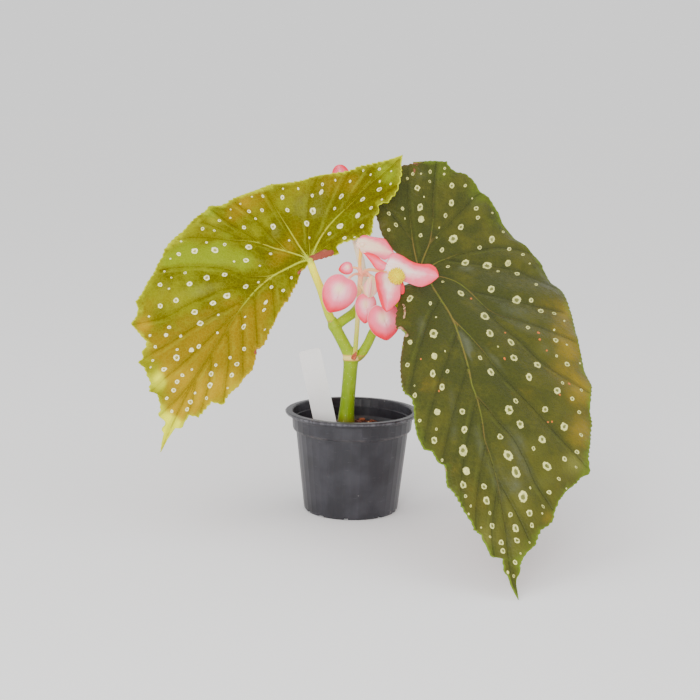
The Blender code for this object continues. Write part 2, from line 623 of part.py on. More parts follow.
def make_rear_stalk(parts):
    stalk = tube("rear_flower_stalk", REAR_STALK, parts, steps=2, resolution=2)
    boolean(stalk, cane_tubes(parts, GAP), "DIFFERENCE")
    finish(stalk, "rear_flower_stalk")


def clear_of_stalks(obj, parts, rows_list):
    boolean(obj, [tube("stalk_space", rows, parts, grow=GAP, steps=2, resolution=2) for rows in rows_list],
            "DIFFERENCE")


def heart(angle):
    """Outline of a closed bud seen flat: across, along, with the tip at +1 and the notch at -1."""
    across = np.sin(angle)
    along = np.cos(angle)
    taper = 1 - 0.22 * along
    tip = 0.10 * np.exp(-(across / 0.22) ** 2) * (along > 0)
    notch = 0.24 * np.exp(-(across / 0.24) ** 2) * (along < 0)
    return across * taper / 1.02, along + tip + notch - 0.05


def make_bud(parts, name, bud):
    """A closed bud: a sphere pressed flat and drawn out to a heart, with a keel round its rim."""
    bm = bmesh.new()
    bmesh.ops.create_uvsphere(bm, u_segments=BUD_SEGMENTS, v_segments=BUD_RINGS, radius=1.0)
    tip = Vector(bud["tip"]).normalized()
    face = Vector(bud["face"])
    face = (face - face.dot(tip) * tip).normalized()
    side = tip.cross(face)
    for vertex in bm.verts:
        reach = math.hypot(vertex.co.x, vertex.co.y)
        x, y = heart(math.atan2(vertex.co.x, vertex.co.y))
        height = math.copysign(abs(vertex.co.z) ** 1.25, vertex.co.z)
        vertex.co = (Vector(bud["centre"]) + side * (x * reach * bud["width"] / 2)
                     + tip * (y * reach * bud["length"] / 2) + face * (height * bud["thickness"] / 2)) * MM
    bmesh.ops.recalc_face_normals(bm, faces=bm.faces)
    obj = from_bmesh(name, bm, parts)
    clear_of_stalks(obj, parts, [PEDICELS[name]])
    finish(obj, name)


def tepal(parts, root, tip, face, width, cup, curl, shape):
    """One tepal: an egg-shaped blade from root to tip, cupped across and curled along its length."""
    start, end = Vector(root), Vector(tip)
    along = end - start
    length = along.length
    along.normalize()
    face = Vector(face)
    face = (face - face.dot(along) * along).normalized()
    side = along.cross(face)
    u = np.linspace(0, 1, TEPAL_STEPS + 1)[:, None]
    v = np.linspace(-1, 1, TEPAL_ACROSS + 1)[None, :]
    widen, narrow = shape
    widest = widen / (widen + narrow)
    outline = (u / widest) ** widen * ((1 - u) / (1 - widest)) ** narrow
    half = width / 2 * np.where(u < widest, np.maximum(outline, 0.25), outline)
    height = cup * (v ** 2) * (half / (width / 2)) ** 2 + curl * u ** 2 - cup * 0.4
    x, y = u * length + 0 * v, half * v
    points = (np.array(start) + x[..., None] * np.array(along) + y[..., None] * np.array(side)
              + height[..., None] * np.array(face))
    bm = bmesh.new()
    grid_faces(bm, points)
    bmesh.ops.remove_doubles(bm, verts=bm.verts, dist=0.1 * MM)
    bmesh.ops.triangulate(bm, faces=bm.faces)
    obj = from_bmesh("tepal", bm, parts)
    solid = obj.modifiers.new("sheet", "SOLIDIFY")
    solid.thickness = TEPAL_THICKNESS
    solid.offset = 0.0
    apply_modifiers(obj)
    return obj


def make_flower(parts, name, hub, tepals, stalks):
    """Tepals joined on a small round receptacle, clear of the stalk that carries it."""
    obj = ball(name, hub[:3], hub[3], parts, segments=12, rings=7)
    boolean(obj, [tepal(parts, *spec) for spec in tepals], "UNION")
    clear_of_stalks(obj, parts, stalks)
    return finish(obj, name)


def make_stamens(parts):
    """A round boss of stamens: a sphere raised into lumps spread evenly over it."""
    bm = bmesh.new()
    bmesh.ops.create_uvsphere(bm, u_segments=26, v_segments=14, radius=1.0)
    index = np.arange(STAMEN_LUMPS) + 0.5
    polar = np.arccos(1 - 2 * index / STAMEN_LUMPS)
    turn = np.pi * (1 + 5 ** 0.5) * index
    lumps = np.stack([np.cos(turn) * np.sin(polar), np.sin(turn) * np.sin(polar), np.cos(polar)], axis=1)
    for vertex in bm.verts:
        nearest = np.max(lumps @ np.array(vertex.co))
        bump = math.exp(-((1 - nearest) / 0.03) ** 1.5)
        vertex.co = (Vector(STAMEN_CENTRE) + vertex.co * STAMEN_RADIUS * (0.82 + 0.18 * bump)) * MM
    obj = from_bmesh("open_flower_stamens", bm, parts)
    return finish(obj, "open_flower_stamens")


def make_open_flower(parts):
    """The open flower; its stamens sit in a socket in the receptacle."""
    obj = ball("open_flower_tepals", OPEN_HUB[:3], OPEN_HUB[3], parts, segments=12, rings=7)
    boolean(obj, [tepal(parts, *spec) for spec in OPEN_TEPALS], "UNION")
    socket = ball("socket", STAMEN_CENTRE, STAMEN_RADIUS + GAP / MM, parts, segments=20, rings=14)
    boolean(obj, [socket], "DIFFERENCE")
    clear_of_stalks(obj, parts, [PEDICELS["open_flower"]])
    finish(obj, "open_flower_tepals")
    make_stamens(parts)


def make_seed_pod(parts):
    """A hanging spindle with three unequal wings."""
    bm = bmesh.new()
    bmesh.ops.create_uvsphere(bm, u_segments=30, v_segments=10, radius=1.0)
    for vertex in bm.verts:
        angle = math.atan2(vertex.co.y, vertex.co.x)
        ring = math.hypot(vertex.co.x, vertex.co.y)
        wing = max(0.0, math.cos(1.5 * angle) ** 2 - 0.55) / 0.45
        height = vertex.co.z
        reach = ring * (POD_RADIUS + POD_WING * wing ** 1.5 * (0.62 - 0.3 * height) * ring)
        vertex.co = Vector((reach * math.cos(angle), reach * math.sin(angle), height * POD_LENGTH / 2)) * MM
    lean = Matrix.Rotation(math.radians(6), 4, "Y") @ Matrix.Rotation(math.radians(25), 4, "Z")
    bmesh.ops.transform(bm, matrix=Matrix.Translation(Vector(POD_CENTRE) * MM) @ lean, verts=bm.verts)
    obj = from_bmesh("seed_pod", bm, parts)
    clear_of_stalks(obj, parts, [PEDICELS["seed_pod"]])
    finish(obj, "seed_pod")


def make_bract(parts):
    finish(tepal(parts, *BRACT), "bract")


def main():
    clear_scene()
    parts = make_collection("potted_cane_begonia")
    make_pot(parts)
    make_soil(parts)
    finish(label_solid("plant_label", parts), "plant_label")
    make_cane(parts)
    make_leaf_stalk(parts, "leaf_stalk_left", LEFT_STALK)
    make_leaf_stalk(parts, "leaf_stalk_right", RIGHT_STALK)
    make_leaf(parts, "leaf_left", LEFT_LEAF, LEFT_STALK)
    make_leaf(parts, "leaf_right", RIGHT_LEAF, RIGHT_STALK)
    make_flower_stalk(parts)
    make_rear_stalk(parts)
    for name, bud in BUDS.items():
        make_bud(parts, name, bud)
    make_open_flower(parts)
    make_flower(parts, "back_flower", BACK_HUB, BACK_TEPALS, [PEDICELS["back_flower"]])
    make_flower(parts, "rear_flower", REAR_HUB, REAR_TEPALS, [REAR_STALK])
    make_seed_pod(parts)
    make_bract(parts)


main()
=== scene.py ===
import math
import bmesh
import bpy
import numpy as np
from mathutils import Matrix, Vector


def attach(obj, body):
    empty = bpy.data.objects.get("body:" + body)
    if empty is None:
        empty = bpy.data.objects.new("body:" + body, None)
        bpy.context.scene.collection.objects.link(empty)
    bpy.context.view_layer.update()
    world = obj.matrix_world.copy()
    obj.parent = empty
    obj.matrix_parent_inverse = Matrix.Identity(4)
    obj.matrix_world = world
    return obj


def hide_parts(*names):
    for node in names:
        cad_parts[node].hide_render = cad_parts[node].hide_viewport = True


# A potted cane begonia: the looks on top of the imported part.
# Lengths in the tables are millimetres. The camera looks along +Y, +X is to the right, +Z is up.

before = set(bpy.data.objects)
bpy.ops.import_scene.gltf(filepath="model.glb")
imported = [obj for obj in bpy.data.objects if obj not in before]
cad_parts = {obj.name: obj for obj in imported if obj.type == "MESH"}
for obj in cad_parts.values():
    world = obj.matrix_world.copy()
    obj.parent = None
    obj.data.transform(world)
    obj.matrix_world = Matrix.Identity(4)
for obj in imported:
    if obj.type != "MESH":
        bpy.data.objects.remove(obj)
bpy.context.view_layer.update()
mm = 0.001

# The camera stands where the reference view was taken from. Spots, veins and patches of the leaves are read
# off enlargements of that view, so the same numbers carry them onto the blades.
cameraLooks = {
    "place": (-2.3, -1000.0, 279.5),
    "focal": 1525.0, "picture": 700.0,      # focal length and picture width, in picture points
    "pitchDown": 9.72, "roll": 0.99,        # degrees
    "sensor": 36.0, "nearest": 0.01,        # the sensor's width in millimetres, the near clip in metres
}


def pictureOf(points):
    # pinhole view: turn by pitch, divide by depth, turn by roll
    c = cameraLooks
    pitch, roll = math.radians(c["pitchDown"]), math.radians(c["roll"])
    x, y, z = np.moveaxis(np.asarray(points, float) - np.array(c["place"]), -1, 0)
    depth = y * math.cos(pitch) - z * math.sin(pitch)
    u = c["focal"] * x / depth
    v = -c["focal"] * (y * math.sin(pitch) + z * math.cos(pitch)) / depth
    across = u * math.cos(roll) - v * math.sin(roll)
    down = u * math.sin(roll) + v * math.cos(roll)
    return np.stack([across, down], axis=-1) + c["picture"] / 2


# Small numpy helpers

latticeKeys = np.array([374761393, 668265263, 974634777])   # odd numbers that scatter a lattice's corners
scatter = 1274126177
capAngles = np.radians([90, 60, 30])                        # the rings that round a tube's end
aroundTube = 18
offAxis = (0.3, 1.0, 0.2)                                   # a direction that no stem takes
weld, slimmest = 0.002 * mm, 0.0005 * mm                    # nearer points are one, shorter edges go


def curveThrough(rows, steps):
    # Catmull-Rom curve: on each span the cubic through its ends that leaves in its neighbours' direction
    rows = np.array(rows, float)
    padded = np.vstack([2 * rows[0] - rows[1], rows, 2 * rows[-1] - rows[-2]])
    t = np.linspace(0, 1, steps, endpoint=False)[:, None]
    spans = [0.5 * (2 * p1 + (p2 - p0) * t + (2 * p0 - 5 * p1 + 4 * p2 - p3) * t ** 2
                    + (3 * p1 - p0 - 3 * p2 + p3) * t ** 3)
             for p0, p1, p2, p3 in zip(padded, padded[1:], padded[2:], padded[3:])]
    return np.vstack(spans + [rows[-1:]])


def runOf(points):
    return np.concatenate([[0], np.cumsum(np.linalg.norm(np.diff(points, axis=0), axis=1))])


def evenly(points, count):
    run = runOf(points)
    wanted = np.linspace(0, run[-1], count)
    return np.column_stack([np.interp(wanted, run, column) for column in points.T])


def softNoise(points, size, seed=0):
    # random values on the corners of a lattice, blended smoothly inside each cell; from -1 to 1
    q = np.asarray(points, float) / size + 17.31 * seed + 5.7
    base = np.floor(q).astype(np.int64)
    f = q - base
    f = f * f * (3 - 2 * f)
    total = np.zeros(q.shape[:-1])
    for corner in np.ndindex(*(2,) * q.shape[-1]):
        key = ((base + corner) * latticeKeys[:q.shape[-1]]).sum(axis=-1)
        key = (key ^ (key >> 13)) * scatter
        value = ((key ^ (key >> 16)) & 0xFFFF) / 32767.5 - 1
        total += value * np.prod(np.where(corner, f, 1 - f), axis=-1)
    return total


def smoothStep(value, low, high):
    t = np.clip((value - low) / (high - low), 0, 1)
    return t * t * (3 - 2 * t)


def unit(v):
    v = np.array(v, float)
    return v / np.linalg.norm(v)


def axesOf(along, beside):
    # unit vectors: along, beside it made square to it, and across both
    along = unit(along)
    beside = np.array(beside, float)
    beside = unit(beside - beside @ along * along)
    return along, beside, np.cross(along, beside)


def stacked(*columns):
    return np.stack(np.broadcast_arrays(*columns), axis=-1)


def anglesRound(count):
    return np.linspace(0, 2 * np.pi, count, endpoint=False)


def gridQuads(rows, columns, closed=False):
    i = np.arange(rows - 1)[:, None]
    j = np.arange(columns if closed else columns - 1)[None, :]
    k = (j + 1) % columns
    near, far = i * columns, (i + 1) * columns
    return stacked(near + j, far + j, far + k, near + k).reshape(-1, 4)


def gridNormals(grid):
    # cross product of the two directions along the grid; the end rows borrow from their neighbours
    normal = np.cross(np.gradient(grid, axis=0), np.gradient(grid, axis=1))
    normal[0], normal[-1] = normal[1], normal[-2]
    length = np.linalg.norm(normal, axis=-1, keepdims=True)
    return normal / np.maximum(length, 1e-9)


def putInScene(name, data):
    made = bpy.data.objects.new(name, data)
    bpy.context.scene.collection.objects.link(made)
    return made


# A part is its points in millimetres, its quads, and its attributes by name

def makePiece(name, points, quads, attributes):
    # merges the points of seams and poles, and turns the faces outward
    mesh = bpy.data.meshes.new(name)
    mesh.from_pydata((np.asarray(points, float) * mm).tolist(), [], np.asarray(quads).tolist())
    for key, values in attributes.items():
        values = np.asarray(values, float)
        if values.ndim == 1:
            mesh.attributes.new(key, "FLOAT", "POINT").data.foreach_set("value", values)
        else:
            mesh.attributes.new(key, "FLOAT_VECTOR", "POINT").data.foreach_set("vector", values.ravel())
    bm = bmesh.new()
    bm.from_mesh(mesh)
    bmesh.ops.remove_doubles(bm, verts=bm.verts, dist=weld)
    bmesh.ops.dissolve_degenerate(bm, edges=bm.edges, dist=slimmest)
    bmesh.ops.recalc_face_normals(bm, faces=bm.faces)
    bm.to_mesh(mesh)
    bm.free()
    mesh.shade_smooth()
    return putInScene(name, mesh)


def joinParts(parts):
    points, quads, attributes, start = [], [], {}, 0
    for partPoints, partQuads, partAttributes in parts:
        points.append(partPoints)
        quads.append(partQuads + start)
        for key, values in partAttributes.items():
            attributes.setdefault(key, []).append(values)
        start += len(partPoints)
    return np.vstack(points), np.vstack(quads), {key: np.concatenate(v) for key, v in attributes.items()}


def manyParts(points, quads, attributes):
    # copies of one small part: the points of every copy, and the quads of a single one
    starts = np.arange(len(points)) * points.shape[1]
    return points.reshape(-1, 3), (quads + starts[:, None, None]).reshape(-1, 4), attributes


def closedPart(grid, **fields):
    # a grid whose last column runs on into its first
    rows, columns = grid.shape[:2]
    attributes = {key: field.reshape((rows * columns,) + field.shape[2:]) for key, field in fields.items()}
    return grid.reshape(-1, 3), gridQuads(rows, columns, True), attributes


def thickSheet(grid, thickness, fields):
    # a grid offset both ways along its normals, with a rim of quads round its border
    rows, columns = grid.shape[:2]
    offset = gridNormals(grid) * thickness / 2
    count = rows * columns
    index = np.arange(count).reshape(rows, columns)
    border = np.concatenate([index[0, :-1], index[:-1, -1], index[-1, :0:-1], index[:0:-1, 0]])
    after = np.roll(border, -1)
    rim = np.stack([border, after, after + count, border + count], axis=-1)
    quads = np.vstack([gridQuads(rows, columns), gridQuads(rows, columns)[:, ::-1] + count, rim])
    doubled = {key: np.concatenate([v.reshape((count,) + v.shape[2:])] * 2) for key, v in fields.items()}
    doubled["under"] = np.repeat([0.0, 1.0], count)
    return np.vstack([(grid + offset).reshape(-1, 3), (grid - offset).reshape(-1, 3)]), quads, doubled


def tubePart(line):
    # a circle carried along a line of x, y, z, radius, turned as little as possible, with rounded ends
    centres, radii = line[:, :3], line[:, 3]
    along = np.gradient(centres, axis=0)
    along /= np.linalg.norm(along, axis=1, keepdims=True)
    side = unit(np.cross(along[0], offAxis))
    sides = []
    for direction in along:
        side = unit(side - direction * (side @ direction))
        sides.append(side)
    sides = np.array(sides)
    others = np.cross(along, sides)
    angle = anglesRound(aroundTube)[None, :, None]
    ring = sides[:, None] * np.cos(angle) + others[:, None] * np.sin(angle)
    foot, head = ([centres[end] + way * along[end] * radii[end] * math.sin(t)
                   + ring[end] * radii[end] * math.cos(t) for t in capAngles]
                  for end, way in ((0, -1), (-1, 1)))
    body = centres[:, None] + ring * radii[:, None, None]
    return closedPart(np.array(foot + list(body) + head[::-1]))


def ballPart(centre, radii, rows=14, columns=20):
    lat = np.linspace(-np.pi / 2, np.pi / 2, rows)[:, None]
    lon = anglesRound(columns)[None, :]
    grid = stacked(np.cos(lat) * np.cos(lon), np.cos(lat) * np.sin(lon), np.sin(lat))
    return closedPart(grid * np.array(radii) + np.array(centre))


def grownTogether(name, parts, voxel, smoothing):
    # tubes that run into each other, remeshed as one skin and smoothed so that the forks have no crease
    piece = makePiece(name, *joinParts(parts))
    skin = piece.modifiers.new("skin", "REMESH")
    skin.mode = "VOXEL"
    skin.voxel_size = voxel * mm
    smooth = piece.modifiers.new("smooth", "SMOOTH")
    smooth.factor = 0.5
    smooth.iterations = smoothing
    graph = bpy.context.evaluated_depsgraph_get()
    mesh = bpy.data.meshes.new_from_object(piece.evaluated_get(graph))
    piece.modifiers.clear()
    piece.data = mesh
    mesh.name = name
    mesh.shade_smooth()
    return piece


# Shader maths as Python expressions

class Value:
    def __init__(self, shader, socket):
        self.shader = shader
        self.socket = socket

    def maths(self, operation, *values):
        return self.shader.node("ShaderNodeMath", {"operation": operation}, dict(enumerate(values)))

    def __neg__(self):
        return self.maths("MULTIPLY", self, -1.0)

    def __abs__(self):
        return self.maths("ABSOLUTE", self)


for sign, operation in (("add", "ADD"), ("sub", "SUBTRACT"), ("mul", "MULTIPLY"), ("truediv", "DIVIDE")):
    setattr(Value, f"__{sign}__", lambda value, other, kind=operation: value.maths(kind, value, other))
    setattr(Value, f"__r{sign}__", lambda value, other, kind=operation: value.maths(kind, other, value))


class Shader:
    def __init__(self, name, constants):
        self.material = bpy.data.materials.new(name)
        self.material.use_nodes = True
        self.nodes = self.material.node_tree.nodes
        self.links = self.material.node_tree.links
        self.surface = self.nodes["Principled BSDF"]
        for key, value in constants.items():
            self.surface.inputs[key].default_value = value

    def node(self, kind, settings=None, inputs=None, output=0):
        made = self.nodes.new(kind)
        for key, value in (settings or {}).items():
            if key == "stops":
                ramp = made.color_ramp
                while len(ramp.elements) < len(value):
                    ramp.elements.new(0.5)
                for element, (place, shade) in zip(ramp.elements, value):
                    element.position = place
                    element.color = (*shade, 1.0)
            else:
                setattr(made, key, value)
        for key, value in (inputs or {}).items():
            if isinstance(value, Value):
                self.links.new(value.socket, made.inputs[key])
            elif isinstance(value, tuple) and made.inputs[key].type == "RGBA":
                made.inputs[key].default_value = (*value, 1.0)
            else:
                made.inputs[key].default_value = value
        return Value(self, made.outputs[output])

    def place(self):
        return self.node("ShaderNodeTexCoord", output="Object")

    def number(self, name):
        return self.node("ShaderNodeAttribute", {"attribute_name": name}, output="Fac")

    def vector(self, name):
        return self.node("ShaderNodeAttribute", {"attribute_name": name}, output="Vector")

    def split(self, vector):
        return [self.node("ShaderNodeSeparateXYZ", inputs={0: vector}, output=i) for i in range(3)]

    def combine(self, x, y, z):
        return self.node("ShaderNodeCombineXYZ", inputs={0: x, 1: y, 2: z})

    def vectorMaths(self, operation, *values, output=0):
        return self.node("ShaderNodeVectorMath", {"operation": operation}, dict(enumerate(values)), output)

    def length(self, vector):
        return self.vectorMaths("LENGTH", vector, output=1)

    def noise(self, place, size, detail=2.0, roughness=0.5, output=0):
        # size is the width of the blotches in the units of the place
        return self.node("ShaderNodeTexNoise", {}, {"Vector": place, "Scale": 1.0 / size, "Detail": detail,
                                                    "Roughness": roughness}, output)

    def cells(self, place, size, feature="F1"):
        return self.node("ShaderNodeTexVoronoi", {"feature": feature}, {"Vector": place, "Scale": 1.0 / size})

    def step(self, value, low, high):
        return self.node("ShaderNodeMapRange", {"interpolation_type": "SMOOTHSTEP"},
                         {"Value": value, "From Min": low, "From Max": high})

    def fall(self, value, low, high):
        return 1 - self.step(value, low, high)

    def mix(self, factor, first, second):
        return self.node("ShaderNodeMix", {"data_type": "RGBA"}, {0: factor, 6: first, 7: second}, 2)

    def layers(self, base, *coats):
        # each coat is how much of it shows, and its colour
        for amount, shade in coats:
            base = self.mix(amount, base, shade)
        return base

    def ramp(self, factor, stops):
        return self.node("ShaderNodeValToRGB", {"stops": stops}, {0: factor})

    def connect(self, skin, roughness, bump, depth, strength=1.0):
        # depth is how high the bump rises, in millimetres
        raised = self.node("ShaderNodeBump", {}, {"Height": bump, "Distance": depth * mm,
                                                  "Strength": strength})
        for value, key in ((skin, "Base Color"), (roughness, "Roughness"), (raised, "Normal")):
            if value is not None:
                self.links.new(value.socket, self.surface.inputs[key])
        return self.material


def colour(red, green, blue):
    # from the 0 to 255 values of a picture to the shader's linear ones, by the sRGB curve
    return tuple(c / 12.92 / 255 if c <= 10 else ((c / 255 + 0.055) / 1.055) ** 2.4
                 for c in (red, green, blue))


# the piece gets its material in one slot, hangs from the root body, and the node's own solid is hidden
def dress(piece, material, node):
    # every node has a slot of its own name
    piece.data.materials.clear()
    piece.data.materials.append(material)
    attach(piece, "root")
    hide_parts(node)


# Leaves

